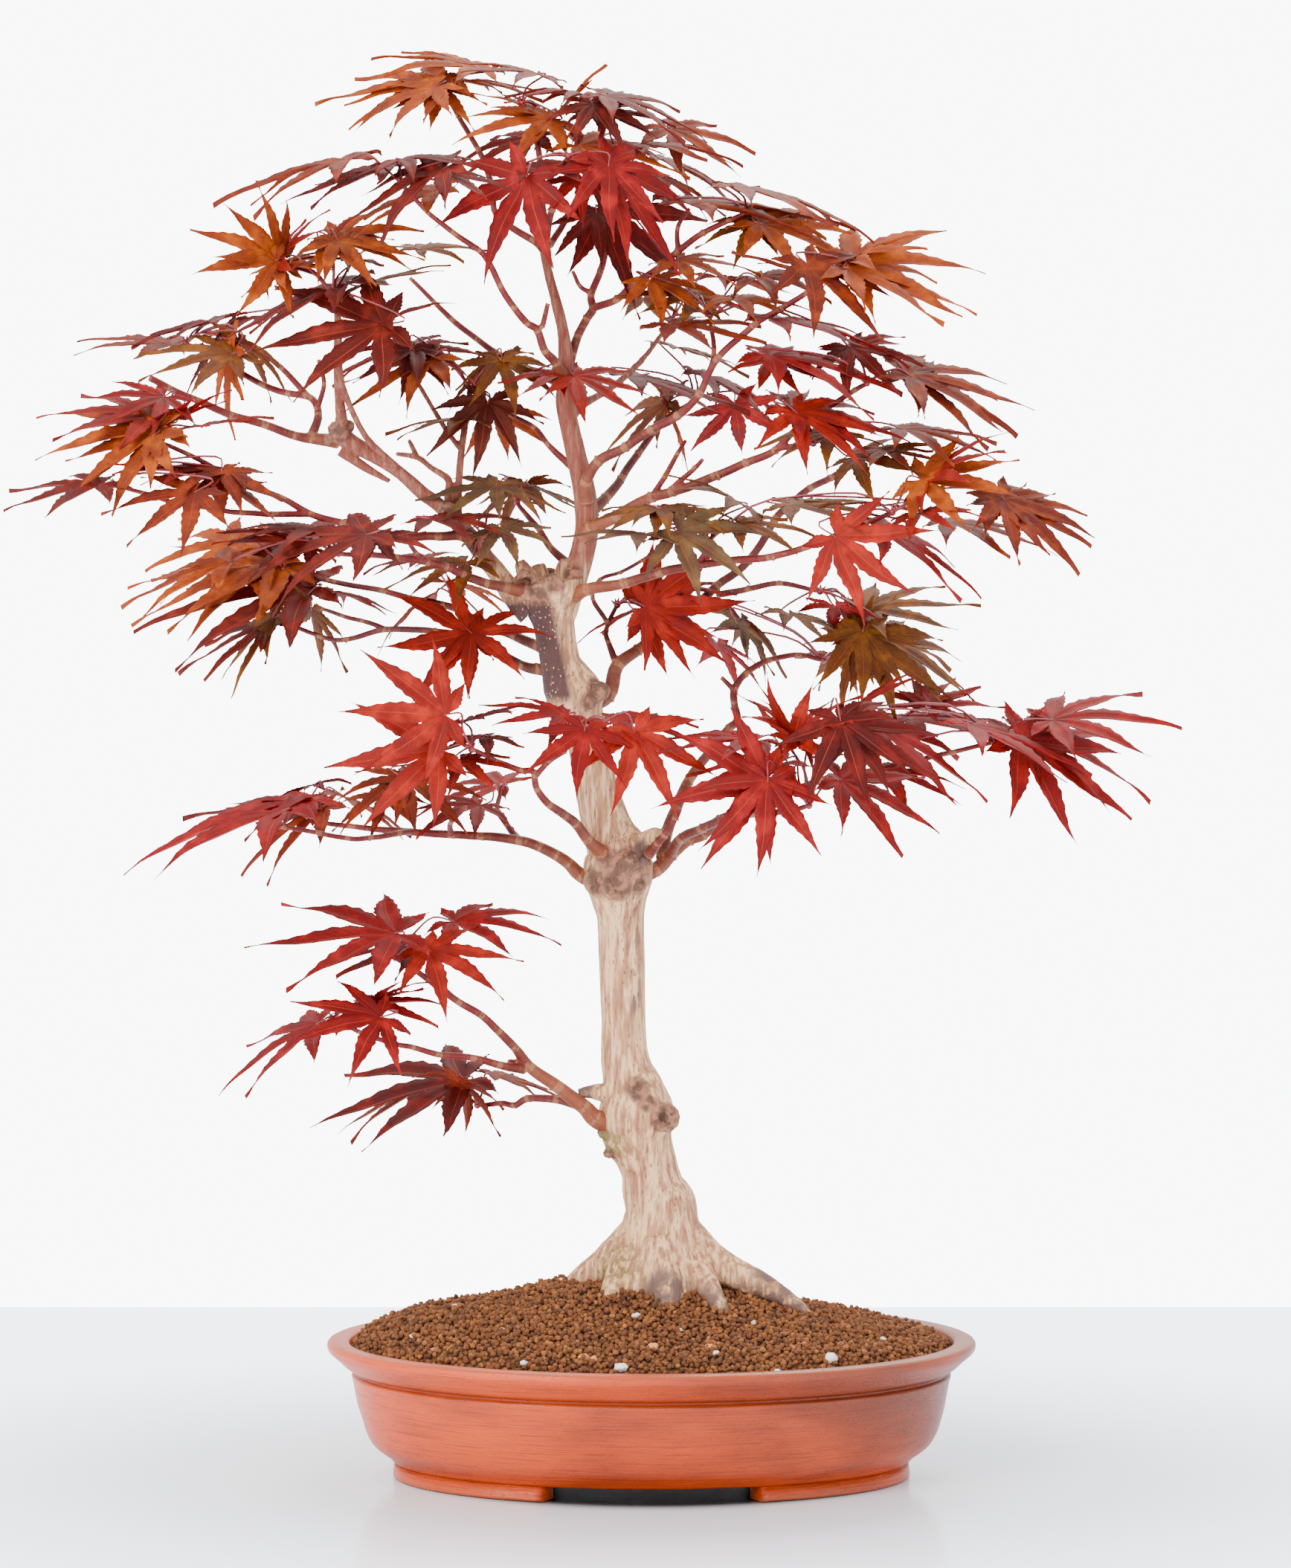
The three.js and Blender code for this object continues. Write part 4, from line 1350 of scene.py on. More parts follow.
@dataclass
class OldWood:
    """Thick wood grown as one: fused bars, burrs and rough bark."""

    name: str
    node: str
    lines: Sequence[Sequence[DrawnPoint]]
    knots: Sequence[Knot]
    voxel: float
    age_rough: float
    seed: float = 0.0
    ridge_depth: float = 0.34
    lump_depth: float = 0.5
    crumb_depth: float = 0.9
    burr_reach: float = 1.9
    scar_reach: float = 1.7
    young_above: float = 538.0
    dark_band: tuple[float, float] = (464.0, 527.0)
    fleck_band: tuple[float, float] = (268.0, 352.0)
    greys: tuple[DrawnPoint, ...] = (
        (-4, 377, -12, 11), (-40, 237, -8, 9), (84, 122, -16, 34), (8, 112, -42, 26))
    mosses: tuple[DrawnPoint, ...] = ((-20, 131, -22, 22), (-22, 208, -14, 12))

    def knot_bars(self) -> list[BMesh]:
        """Build each knot as a lump, and each ringed knot as a rolled lip round a hollow.

        Returns:
            One shape for each knot.
        """
        parts = []
        for knot in self.knots:
            centre = DRAWING.place(knot.x, knot.height, knot.depth)
            face = Matrix.Rotation(math.pi / 2, 4, "X")
            shape = bmesh.new()
            if knot.ring:
                bmesh.ops.create_circle(shape, segments=10, radius=knot.radius * 0.42 * MM,
                                        matrix=Matrix.Translation((knot.radius * MM, 0, 0))
                                        @ Matrix.Rotation(math.pi / 2, 4, "X"))
                bmesh.ops.spin(shape, geom=shape.verts[:] + shape.edges[:], cent=(0, 0, 0),
                               axis=(0, 0, 1), angle=math.tau, steps=20, use_merge=True)
                bmesh.ops.remove_doubles(shape, verts=shape.verts, dist=1e-6)
                bmesh.ops.recalc_face_normals(shape, faces=shape.faces)
            else:
                bmesh.ops.create_icosphere(shape, subdivisions=2, radius=knot.radius * MM)
                bmesh.ops.scale(shape, vec=(1, 1, 0.6), verts=shape.verts)
            bmesh.ops.transform(shape, matrix=Matrix.Translation(centre) @ face,
                                verts=shape.verts)
            parts.append(shape)
        return parts

    @staticmethod
    def spots(rows: Sequence[DrawnPoint]) -> list[Spot]:
        """Place drawn spots, each x, height, depth and radius, in metres."""
        return [(DRAWING.place(x, height, depth), radius * MM) for x, height, depth, radius in rows]

    @staticmethod
    def near(place: Vector, spots: Sequence[Spot]) -> float:
        """Say how near a point is to its nearest spot, from 1 at the middle to 0 outside.

        Args:
            place: the point.
            spots: each spot's centre and radius.

        Returns:
            The nearness.
        """
        best = 0.0
        for centre, radius in spots:
            if abs(place.z - centre.z) < radius:
                best = max(best, 1 - ((place - centre).length / radius) ** 2)
        return best

    def weather(self, mesh: Mesh) -> None:
        """Roughen the skin: long shallow ridges, lumps and crumbling burrs.

        Args:
            mesh: the fused wood.
        """
        spots = self.spots([(k.x, k.height, k.depth, k.radius * self.burr_reach)
                            for k in self.knots])
        normals = [vertex.normal.copy() for vertex in mesh.vertices]
        for vertex, normal in zip(mesh.vertices, normals):
            co = vertex.co.copy()
            local = co - DRAWING.middle
            ridge = noise.fractal(
                Vector((local.x * 190, local.y * 190, local.z * 26 + self.seed)), 0.9, 2.1, 4)
            lumps = noise.noise(local * 48 + Vector((self.seed, 3, 7)))
            burr = self.near(co, spots)
            crumb = noise.fractal(local * 420, 0.8, 2.2, 3) if burr else 0.0
            push = (self.ridge_depth * ridge + self.lump_depth * lumps) * self.age_rough
            push += self.crumb_depth * burr * crumb
            vertex.co = co + normal * push * MM

    def paint_masks(self, mesh: Mesh) -> None:
        """Mark where the bark is young, dark, flecked, scarred, lichened or mossy.

        Args:
            mesh: the roughened wood.
        """
        masks: dict[str, list[float]] = {name: [] for name in (
            "wood_youth", "wood_dark", "wood_fleck", "wood_scar", "wood_grey", "wood_moss")}
        scars = self.spots([(k.x, k.height, k.depth, k.radius * self.scar_reach)
                            for k in self.knots])
        greys = self.spots(self.greys)
        mosses = self.spots(self.mosses)
        dark_low, dark_high = self.dark_band
        fleck_low, fleck_high = self.fleck_band
        for vertex in mesh.vertices:
            co = vertex.co
            local = (co - DRAWING.middle) / MM
            height = local.z + DRAWING.datum
            front = local.y < 3
            masks["wood_youth"].append(clip((height - self.young_above) / 14))
            patch = 0.0
            if dark_low < height < dark_high:
                left = -66 + (height - 465) * -0.22
                side = clip((left + 24 - local.x) / 5)
                patch = side * min(1.0, (height - dark_low) / 6)
                patch *= min(1.0, (dark_high - height) / 5)
                patch *= 1.0 if front else 0.35
            masks["wood_dark"].append(patch)
            stripe = 0.0
            if fleck_low < height < fleck_high:
                stripe = max(0.0, 1 - abs(local.x + 10) / 5.5)
                stripe *= min(1.0, (height - fleck_low) / 20)
            masks["wood_fleck"].append(stripe * (0.9 if front else 0.3))
            masks["wood_scar"].append(min(1.0, 1.7 * self.near(co, scars)))
            foot = clip((136 - height) / 20) * clip((local.x + 4) / 30)
            masks["wood_grey"].append(max(foot * 0.9, self.near(co, greys)))
            masks["wood_moss"].append(self.near(co, mosses))
        for name, values in masks.items():
            point_values(mesh, name, values)

    def build(self) -> Object:
        """Build the wood, roughen it, mark it and dress it.

        Returns:
            The finished piece.
        """
        sweeps = [
            Sweep(DRAWING.route(line), 20 if line[0][3] > 15 else 12, 4, 0.0, self.seed)
            for line in self.lines
        ]
        whole = bmesh.new()
        bars = swept_mesh(sweeps, self.name)
        whole.from_mesh(bars)
        for part in self.knot_bars():
            add_to(whole, part)
        piece = fused(mesh_of(whole, self.name), self.name, self.voxel, 3)
        self.weather(piece.data)
        self.paint_masks(piece.data)
        smooth(piece.data)
        piece.data.materials.append(BarkFinish().make())
        return hold(piece, [self.node])


# ---- branches and leaves
class Tone(Enum):
    """What colour a leaf has turned: its face, and the light that shines through it."""

    CRIMSON = (paint(110, 14, 15), paint(184, 34, 30))
    RED = (paint(122, 22, 14), paint(198, 48, 28))
    MAROON = (paint(72, 18, 15), paint(134, 32, 26))
    PLUM = (paint(80, 25, 20), paint(156, 48, 32))
    BROWN = (paint(96, 34, 18), paint(176, 70, 22))
    ORANGE = (paint(134, 54, 16), paint(214, 106, 24))
    OLIVE = (paint(88, 52, 18), paint(162, 98, 26))
    SLATE = (paint(80, 64, 44), paint(134, 102, 52))
    DRY = (paint(70, 28, 20), paint(96, 46, 32))


C, R, M, P, B, A, G, S, D = (
    Tone.CRIMSON, Tone.RED, Tone.MAROON, Tone.PLUM, Tone.BROWN, Tone.ORANGE, Tone.OLIVE,
    Tone.SLATE, Tone.DRY,
)


@dataclass(frozen=True)
class Shoot:
    """A bud at a twig's end and the leaves on it.

    A leaf's row is base x, base height, tip x, tip height, depth from the bud, how far it faces
    the viewer (0 lies flat, 1 is upright), and its tone.
    """

    node: str
    bud: Triple
    leaves: tuple[LeafRow, ...]

    def place(self) -> Vector:
        """Give the bud's place in the row frame, in metres."""
        x, height, depth = self.bud
        return DRAWING.place(x, height, depth * DRAWING.depth_spread)


@dataclass(frozen=True)
class Branch:
    """One branch: its routes and the shoots on its twigs."""

    node: str
    routes: tuple[tuple[DrawnPoint, ...], ...]
    shoots: tuple[Shoot, ...]
    shade: float = 0.15


BRANCHES = (
    Branch("branch_low_left", (
        ((-24, 218, -4, 14), (-34, 222, -7, 11), (-40, 228, -8, 9.4), (-55, 240, -12, 8),
         (-72, 252, -16, 7), (-80, 263, -22, 5.4), (-90, 273, -26, 5), (-100, 282, -30, 4.6),
         (-113, 290, -34, 4.4), (-125, 299, -38, 4), (-140, 310, -42, 3.4), (-150, 316, -45, 3)),
        ((-113, 290, -34, 3.8), (-122, 298, -31, 3.2), (-131, 306, -28, 3), (-128, 321, -24, 2.6)),
        ((-74, 250, -18, 6), (-90, 253, -28, 4.8), (-105, 257, -36, 4.2), (-125, 259, -46, 3.8),
         (-140, 263, -51, 3.4), (-150, 265, -54, 3.2), (-170, 272, -57, 3), (-186, 280, -60, 2.8)),
        ((-42, 229, -8, 6.4), (-55, 232, -2, 5), (-72, 233, 8, 4.6), (-80, 229, 14, 4), (-88, 230, 19, 3.6),
         (-102, 229, 25, 2.8)),
        ((-74, 252, -18, 4.4), (-80, 254, -20, 4), (-84, 254.5, -21, 3.4)),
    ), (
        Shoot("leaves_low_left_upper", (-150, 316, -45), (
            (-149, 330, -227, 327, -4, 0.5, C), (-116, 337, -65, 334, 20, 0.45, C),
            (-130, 320, -95, 302, -8, 0.6, R), (-133, 322, -172, 312, 14, 0.35, M))),
        Shoot("leaves_low_left_tip", (-186, 280, -60), (
            (-195, 277, -248, 249, -6, 0.4, C), (-158, 281, -196, 272, -16, 0.7, C),
            (-170, 287, -133, 286, 8, 0.4, C), (-162, 290, -150, 302, 12, 0.5, C))),
        Shoot("leaves_low_left_back", (-102, 229, 25), (
            (-110, 244, -187, 226, 4, 0.5, M), (-130, 240, -180, 223, 20, 0.3, B),
            (-92, 246, -60, 241, 10, 0.3, B), (-112, 243, -105, 222, -10, 0.6, B))),
    )),
    Branch("branch_left_first", (
        ((-28, 360, 0, 12), (-41, 364, 0, 9), (-48, 371, 0, 7.6), (-55, 376, 0, 7), (-65, 381, 0, 6.4),
         (-77, 385, 0, 6.2), (-100, 387, 0, 5.2), (-117, 388, 0, 5), (-145, 390, 0, 4.4),
         (-175, 393, 6, 3.4), (-190, 395, 8, 3), (-200, 398, 10, 2.8)),
        ((-140, 390, 0, 4.4), (-148, 389, -10, 3.8), (-165, 386, -24, 3.4), (-178, 386, -34, 3.2),
         (-195, 389, -43, 3), (-215, 393, -52, 2.8), (-225, 395, -55, 2.6)),
        ((-77, 385, 0, 5), (-84, 393, 8, 3.8), (-90, 403, 14, 3.2), (-88, 415, 25, 2.8)),
        ((-117, 388, 0, 4), (-117, 396, -10, 3.2), (-108, 404, -18, 2.8)),
    ), (
        Shoot("leaves_left_first_tip", (-200, 398, 10), (
            (-190, 404, -240, 376, 4, 0.4, B), (-197, 417, -215, 412, 16, 0.5, M),
            (-180, 410, -150, 395, 26, 0.4, B), (-204, 406, -262, 402, 12, 0.3, M))),
        Shoot("leaves_left_first_low", (-225, 395, -55), (
            (-215, 402, -298, 386, -6, 0.35, C), (-200, 408, -252, 399, 6, 0.3, C))),
        Shoot("leaves_left_first_inner", (-88, 415, 25), (
            (-87, 417, -125, 420, 8, 0.5, R), (-100, 405, -128, 397, -22, 0.5, C),
            (-143, 420, -115, 402, -34, 0.6, B), (-155, 412, -163, 396, -20, 0.5, B),
            (-143, 421, -175, 405, -30, 0.5, B))),
    ), 0.3),
    Branch("branch_left_front", (
        ((-24, 372, -8, 12), (-30, 378, -12, 8.6), (-38, 386, -20, 6.6), (-45, 395, -26, 6),
         (-51, 400, -31, 5.6), (-60, 406, -40, 4.8), (-67, 415, -46, 4.2), (-69, 425, -50, 4),
         (-77, 426, -54, 3.8), (-90, 431, -60, 3.2), (-105, 438, -66, 2.8)),
        ((-68, 422, -50, 3.8), (-60, 431, -52, 3.2), (-51, 437, -52, 2.8)),
    ), (
        Shoot("leaves_left_front_tip", (-105, 438, -66), (
            (-120, 458, -172, 460, -12, 0.95, R), (-123, 438, -179, 431, -4, 0.85, R),
            (-97, 445, -120, 440, 18, 0.4, M), (-105, 455, -88, 462, 20, 0.5, M),
            (-112, 432, -97, 423, 10, 0.6, R))),
        Shoot("leaves_left_front_trunk", (-51, 437, -52), (
            (-39, 449, -42, 420, -14, 0.95, C), (-50, 458, -83, 457, 10, 0.5, C),
            (-10, 448, 12, 410, -10, 0.85, R), (-25, 455, 17, 450, 12, 0.4, C))),
    ), 0.3),
    Branch("branch_left_back_low", (
        ((-53, 484, 4, 10), (-65, 485, 8, 7.4), (-75, 487, 11, 6), (-90, 495, 14, 5.2),
         (-105, 502, 20, 4.6), (-125, 507, 26, 4.2), (-155, 508, 34, 3.8), (-178, 502, 40, 3.2),
         (-193, 504, 44, 3), (-212, 512, 50, 2.8)),
        ((-155, 508, 34, 3.4), (-168, 513, 34, 3), (-180, 516, 34, 2.8), (-192, 520, 34, 2.4)),
    ), (
        Shoot("leaves_left_back_low_tip", (-212, 512, 50), (
            (-218, 515, -250, 485, 4, 0.6, G), (-200, 532, -290, 520, 12, 0.5, P),
            (-220, 512, -272, 490, 14, 0.4, P), (-198, 520, -192, 492, 0, 0.6, G),
            (-188, 530, -160, 524, 8, 0.4, P))),
    ), 0.7),
    Branch("branch_left_back", (
        ((-56, 494, 6, 9), (-66, 498, 12, 7), (-80, 504, 18, 6), (-100, 512, 24, 5.4), (-112, 519, 32, 5),
         (-120, 522, 36, 4.6), (-140, 526, 44, 4.2), (-155, 530, 50, 3.8), (-186, 536, 60, 3.4),
         (-214, 543, 70, 2.8)),
        ((-112, 516, 30, 4), (-113, 523, 32, 3.2), (-116, 528, 34, 2.8)),
    ), (
        Shoot("leaves_left_back_tip", (-214, 543, 70), (
            (-214, 547, -300, 541, 6, 0.55, A), (-190, 565, -250, 551, 16, 0.4, P),
            (-222, 550, -295, 520, 12, 0.5, A), (-242, 558, -292, 549, -8, 0.6, A))),
        Shoot("leaves_left_back_inner", (-116, 528, 34), (
            (-125, 530, -152, 512, 4, 0.5, B), (-118, 535, -90, 527, 8, 0.4, A),
            (-105, 505, -150, 500, -38, 0.85, R), (-105, 506, -82, 488, -40, 0.8, R),
            (-135, 548, -150, 553, 10, 0.4, P))),
    ), 0.7),
    Branch("branch_left_middle", (
        ((-66, 528, -6, 10), (-85, 533, -12, 6.6), (-97, 535, -16, 5.8), (-110, 540, -22, 5.2),
         (-120, 545, -26, 4.8), (-131, 547, -30, 4.6), (-150, 550, -40, 4), (-165, 551, -48, 3.6),
         (-182, 552, -60, 2.8)),
        ((-131, 547, -30, 3.4), (-137, 553, -34, 3), (-141, 558, -38, 2.6)),
    ), (
        Shoot("leaves_left_middle", (-182, 552, -60), (
            (-165, 563, -232, 548, -10, 0.5, P), (-200, 556, -242, 562, 8, 0.5, P),
            (-245, 547, -300, 530, -4, 0.4, A), (-160, 562, -148, 550, 4, 0.6, P),
            (-195, 566, -235, 568, 16, 0.35, P))),
    ), 0.4),
    Branch("branch_limb_low", (
        ((-104, 560, -4, 8), (-112, 563, -7, 6.4), (-125, 562, -12, 5.4), (-150, 562, -22, 5),
         (-165, 566, -28, 4.6), (-180, 570, -33, 4.4), (-198, 575, -38, 4.2), (-215, 584, -41, 3.8),
         (-232, 591, -44, 3.6), (-250, 600, -46, 3.4), (-270, 610, -48, 3), (-288, 618, -50, 2.6)),
        ((-198, 575, -38, 4), (-220, 575, -47, 3.6), (-238, 576, -54, 3.4), (-255, 578, -58, 3),
         (-275, 581, -62, 3), (-295, 587, -66, 2.8), (-312, 592, -70, 2.4)),
    ), (
        Shoot("leaves_limb_low_upper", (-288, 618, -50), (
            (-285, 625, -350, 614, -6, 0.6, A), (-283, 643, -310, 633, 10, 0.6, C),
            (-275, 630, -268, 643, 12, 0.6, C), (-290, 620, -333, 594, -12, 0.6, A),
            (-290, 632, -348, 640, 4, 0.5, R), (-262, 626, -236, 632, 16, 0.4, R))),
        Shoot("leaves_limb_low_tip", (-312, 592, -70), (
            (-320, 592, -368, 583, -4, 0.35, P), (-265, 588, -298, 568, -12, 0.6, B),
            (-268, 598, -302, 604, 16, 0.4, C), (-250, 600, -240, 582, 10, 0.6, B),
            (-245, 598, -285, 603, 20, 0.4, P), (-252, 594, -222, 577, 14, 0.4, B))),
    ), 0.1),
    Branch("branch_limb_tip", (
        ((-182, 617, 2, 9), (-198, 619, -2, 6.4), (-207, 621, -4, 5.4), (-225, 627, -8, 5),
         (-243, 632, -12, 4.8), (-265, 641, -16, 4.4), (-280, 648, -18, 4.2), (-292, 654, -20, 4.2)),
        ((-198, 620, -2, 6), (-193, 632, 8, 5), (-197, 642, 15, 4.4), (-210, 645, 20, 4.2),
         (-225, 650, 26, 4), (-250, 664, 36, 3.4), (-270, 674, 44, 2.8)),
        ((-200, 644, 16, 4), (-215, 660, 20, 3.6), (-233, 674, 24, 3.6)),
        ((-194, 636, 10, 3.6), (-190, 650, 10, 3), (-193, 665, 10, 2.8)),
    ), (
        Shoot("leaves_limb_tip", (-270, 674, 44), (
            (-278, 673, -329, 681, 4, 0.35, B), (-253, 687, -288, 681, -6, 0.5, M),
            (-243, 668, -287, 662, -30, 0.6, G), (-225, 690, -250, 683, 6, 0.4, P),
            (-242, 670, -258, 638, -26, 0.7, A), (-250, 678, -265, 650, -10, 0.6, M),
            (-240, 676, -222, 652, -20, 0.6, G))),
    ), 0.25),
    Branch("branch_leader_left", (
        ((-50, 652, -2, 8), (-56, 663, -9, 5.8), (-62, 670, -14, 5), (-66, 682, -18, 4.8),
         (-72, 686, -21, 4.4), (-80, 695, -26, 4.2), (-88, 708, -30, 4), (-95, 722, -35, 3.8),
         (-100, 728, -38, 3.8), (-115, 738, -45, 3.4), (-130, 750, -52, 3), (-145, 766, -60, 2.6)),
        ((-64, 683, -18, 3.6), (-60, 697, -18, 3)),
        ((-52, 650, 4, 5.6), (-70, 658, 22, 4.6), (-88, 667, 40, 4.2), (-100, 676, 46, 4),
         (-115, 687, 52, 3.8), (-125, 697, 56, 3.2), (-140, 712, 62, 2.6)),
    ), (
        Shoot("leaves_leader_left", (-145, 766, -60), (
            (-145, 780, -112, 782, 0, 0.4, P), (-175, 780, -242, 765, -6, 0.35, B),
            (-120, 775, -173, 752, -14, 0.5, P), (-125, 762, -180, 745, 18, 0.4, A),
            (-150, 776, -205, 762, 14, 0.35, P), (-122, 772, -100, 762, -8, 0.4, P))),
    ), 0.2),
    Branch("branch_top_left", (
        ((-62, 727, 2, 5.6), (-68, 733, 4, 4.8), (-90, 748, 10, 4), (-92, 765, 13, 3.8),
         (-100, 785, 16, 3.6), (-112, 805, 18, 3.2), (-120, 819, 20, 2.6)),
    ), (
        Shoot("leaves_top_left", (-120, 819, 20), (
            (-100, 832, -155, 846, 8, 0.4, A), (-120, 824, -187, 818, -6, 0.5, A),
            (-122, 822, -127, 803, -10, 0.7, A), (-112, 825, -72, 824, 0, 0.3, B),
            (-125, 822, -170, 806, -16, 0.5, A))),
    ), 0.1),
    Branch("branch_apex", (
        ((-60, 729, -2, 6), (-63, 742, -2, 4.8), (-64, 760, -2, 4.2), (-65, 780, -2, 4),
         (-68, 800, -1, 3.4), (-75, 813, 0, 2.8)),
        ((-61, 734, -3, 5), (-57, 752, -8, 4.2), (-46, 776, -15, 3.8), (-42, 798, -20, 3.4),
         (-38, 813, -24, 2.8)),
        ((-61, 738, -4, 4.4), (-62, 762, -30, 3.4), (-48, 782, -52, 2.8)),
        ((-59, 730, 4, 4.4), (-44, 756, 18, 3.6), (-32, 785, 30, 3.2), (-30, 808, 36, 2.6)),
    ), (
        Shoot("leaves_apex", (-75, 813, 0), (
            (-66, 829, -100, 834, 6, 0.4, B), (-58, 803, -102, 800, -8, 0.6, A),
            (-68, 793, -108, 775, 10, 0.4, P), (-60, 804, -86, 812, 4, 0.6, A),
            (-56, 803, -40, 822, 8, 0.7, A))),
        Shoot("leaves_apex_right", (-38, 813, -24), (
            (-28, 817, 28, 804, -4, 0.4, P), (-10, 788, 45, 790, 10, 0.3, B),
            (10, 798, 48, 780, 26, 0.4, B), (-32, 808, -5, 800, 6, 0.4, P),
            (-34, 812, -18, 793, -8, 0.6, P), (-42, 788, 10, 777, 4, 0.5, A),
            (-36, 816, -72, 824, 12, 0.3, P))),
        Shoot("leaves_apex_front", (-48, 782, -52), (
            (-72, 771, -97, 720, -6, 0.8, C), (-25, 777, -22, 745, -8, 0.85, C),
            (-70, 775, -20, 775, 10, 0.35, P), (-40, 770, -40, 752, 2, 0.6, C),
            (-28, 779, 14, 732, -2, 0.6, C))),
    ), 0.1),
    Branch("branch_second_leader", (
        ((-48, 662, 4, 7), (-46, 668, 5, 6), (-43, 678, 6, 5.4), (-38, 688, 7, 5.2), (-34, 694, 8, 5.4),
         (-35, 702, 9, 4.6), (-30, 715, 10, 4.4), (-27, 730, 10, 3.8), (-30, 750, 10, 2.8)),
        ((-35, 694, 8, 5), (-20, 700, -2, 4.6), (-8, 710, -10, 4.6), (5, 718, -16, 4.2),
         (15, 727, -20, 4.2), (30, 738, -28, 3.8), (45, 745, -35, 3.2), (55, 750, -40, 2.6)),
        ((15, 727, -20, 3.4), (15, 740, -20, 3), (22, 752, -20, 2.4)),
        ((-36, 704, 9, 3.2), (-42, 708, 8, 2.8), (-46, 716, 6, 2.4)),
    ), (
        Shoot("leaves_second_leader", (-30, 750, 10), (
            (-30, 752, 20, 715, -6, 0.7, M), (5, 780, 50, 765, 10, 0.4, B),
            (-32, 750, -30, 725, -12, 0.7, M), (5, 770, 30, 755, 16, 0.4, B),
            (15, 722, 45, 716, -30, 0.5, A))),
        Shoot("leaves_right_top", (55, 750, -40), (
            (20, 755, 100, 748, 10, 0.3, B), (63, 743, 110, 727, -6, 0.5, A),
            (50, 764, 115, 752, -14, 0.3, B), (62, 745, 50, 725, 4, 0.6, G),
            (66, 748, 96, 741, 12, 0.4, A))),
    ), 0.1),
    Branch("branch_right_high", (
        ((-38, 582, -4, 9), (-38, 594, -8, 7.2), (-31, 606, -12, 6.4), (-15, 614, -18, 5.8),
         (0, 624, -24, 5.4), (15, 632, -30, 5), (28, 645, -36, 4.6), (38, 665, -40, 4.2), (60, 685, -46, 4),
         (75, 694, -50, 3.8), (90, 703, -54, 3.4), (112, 720, -60, 2.6)),
        ((28, 645, -36, 4), (33, 656, -35, 3.6), (36, 668, -34, 3.2), (34, 690, -30, 2.6)),
    ), (
        Shoot("leaves_right_high_tip", (112, 720, -60), (
            (113, 720, 182, 722, 4, 0.6, A), (90, 720, 125, 688, -12, 0.6, B),
            (114, 722, 147, 733, 10, 0.6, A), (114, 717, 176, 703, -6, 0.5, A),
            (88, 714, 62, 724, 8, 0.4, B))),
        Shoot("leaves_right_high_inner", (34, 690, -30), (
            (12, 685, 60, 678, -10, 0.4, B), (48, 700, 82, 693, 0, 0.4, A),
            (70, 688, 137, 680, -20, 0.3, C), (62, 712, 95, 708, 8, 0.4, B), (0, 710, 30, 696, 12, 0.5, A),
            (115, 672, 138, 655, -12, 0.6, M), (24, 700, -4, 694, 10, 0.5, G))),
    ), 0.3),
    Branch("branch_right_back", (
        ((-36, 576, 4, 8.6), (-27, 584, 14, 6.4), (-18, 595, 24, 5.4), (-8, 610, 38, 4.8),
         (3, 625, 52, 4.2), (12, 633, 64, 3.4), (25, 641, 80, 2.8)),
    ), (
        Shoot("leaves_right_back", (25, 641, 80), (
            (30, 655, 88, 633, 6, 0.3, M), (10, 640, -30, 617, -8, 0.6, G), (48, 640, 53, 610, -4, 0.7, C),
            (12, 672, 45, 665, 10, 0.4, G), (8, 638, 20, 614, -14, 0.7, A),
            (-12, 655, 48, 640, -30, 0.3, M))),
    ), 0.6),
    Branch("branch_right_long", (
        ((-40, 561, -4, 10), (-35, 567, -6, 8.4), (-20, 574, -12, 7.2), (0, 585, -17, 6.6),
         (12, 588, -20, 6), (38, 597, -26, 5.4), (55, 605, -30, 5), (72, 612, -34, 4.6), (85, 625, -38, 4),
         (100, 635, -42, 3.6), (118, 647, -48, 3.2), (125, 651, -50, 2.8)),
        ((74, 613, -34, 3.8), (84, 615, -39, 3.2), (94, 616, -44, 2.8)),
        ((0, 585, -17, 4), (8, 597, -16, 3.4), (15, 610, -14, 3), (20, 618, -12, 2.4)),
        ((12, 590, -20, 3.8), (25, 602, -24, 3), (30, 607, -25, 2.6)),
    ), (
        Shoot("leaves_right_long_tip", (125, 651, -50), (
            (68, 667, 137, 655, -6, 0.4, C), (148, 656, 213, 642, 4, 0.5, B),
            (115, 672, 138, 655, 14, 0.6, C), (150, 655, 207, 628, 0, 0.5, B),
            (70, 664, 84, 650, 8, 0.5, R))),
        Shoot("leaves_right_long_inner", (94, 616, -44), (
            (80, 637, 140, 624, -12, 0.5, C), (105, 622, 78, 615, -6, 0.4, G),
            (145, 624, 193, 616, 8, 0.3, B), (118, 608, 150, 605, 4, 0.6, G),
            (84, 634, 118, 610, -20, 0.6, R), (136, 612, 148, 604, 2, 0.5, B))),
    ), 0.15),
    Branch("branch_right_middle", (
        ((-46, 527, -6, 10), (-37, 531, -11, 7.6), (-15, 535, -18, 6.2), (5, 541, -26, 5.6),
         (25, 545, -34, 5.2), (45, 548, -41, 4.8), (70, 550, -48, 4.4), (90, 556, -53, 4),
         (110, 564, -58, 3.6), (125, 570, -62, 3.2), (140, 576, -66, 2.8)),
        ((26, 545, -34, 4), (31, 553, -37, 3.2), (34, 560, -40, 2.8)),
    ), (
        Shoot("leaves_right_middle_tip", (140, 576, -66), (
            (107, 562, 145, 535, -14, 0.95, R), (130, 567, 188, 541, 6, 0.4, C),
            (157, 595, 203, 589, 6, 0.7, A), (172, 570, 225, 563, 22, 0.3, B),
            (200, 583, 250, 565, 12, 0.5, B), (80, 580, 135, 577, 10, 0.35, G),
            (160, 596, 192, 614, 12, 0.6, R), (155, 575, 172, 572, -4, 0.5, R),
            (204, 584, 240, 552, 6, 0.5, B))),
        Shoot("leaves_right_middle_inner", (34, 560, -40), (
            (5, 578, 35, 573, 6, 0.4, G), (50, 582, 25, 595, 10, 0.6, G), (15, 565, 50, 545, -12, 0.7, S),
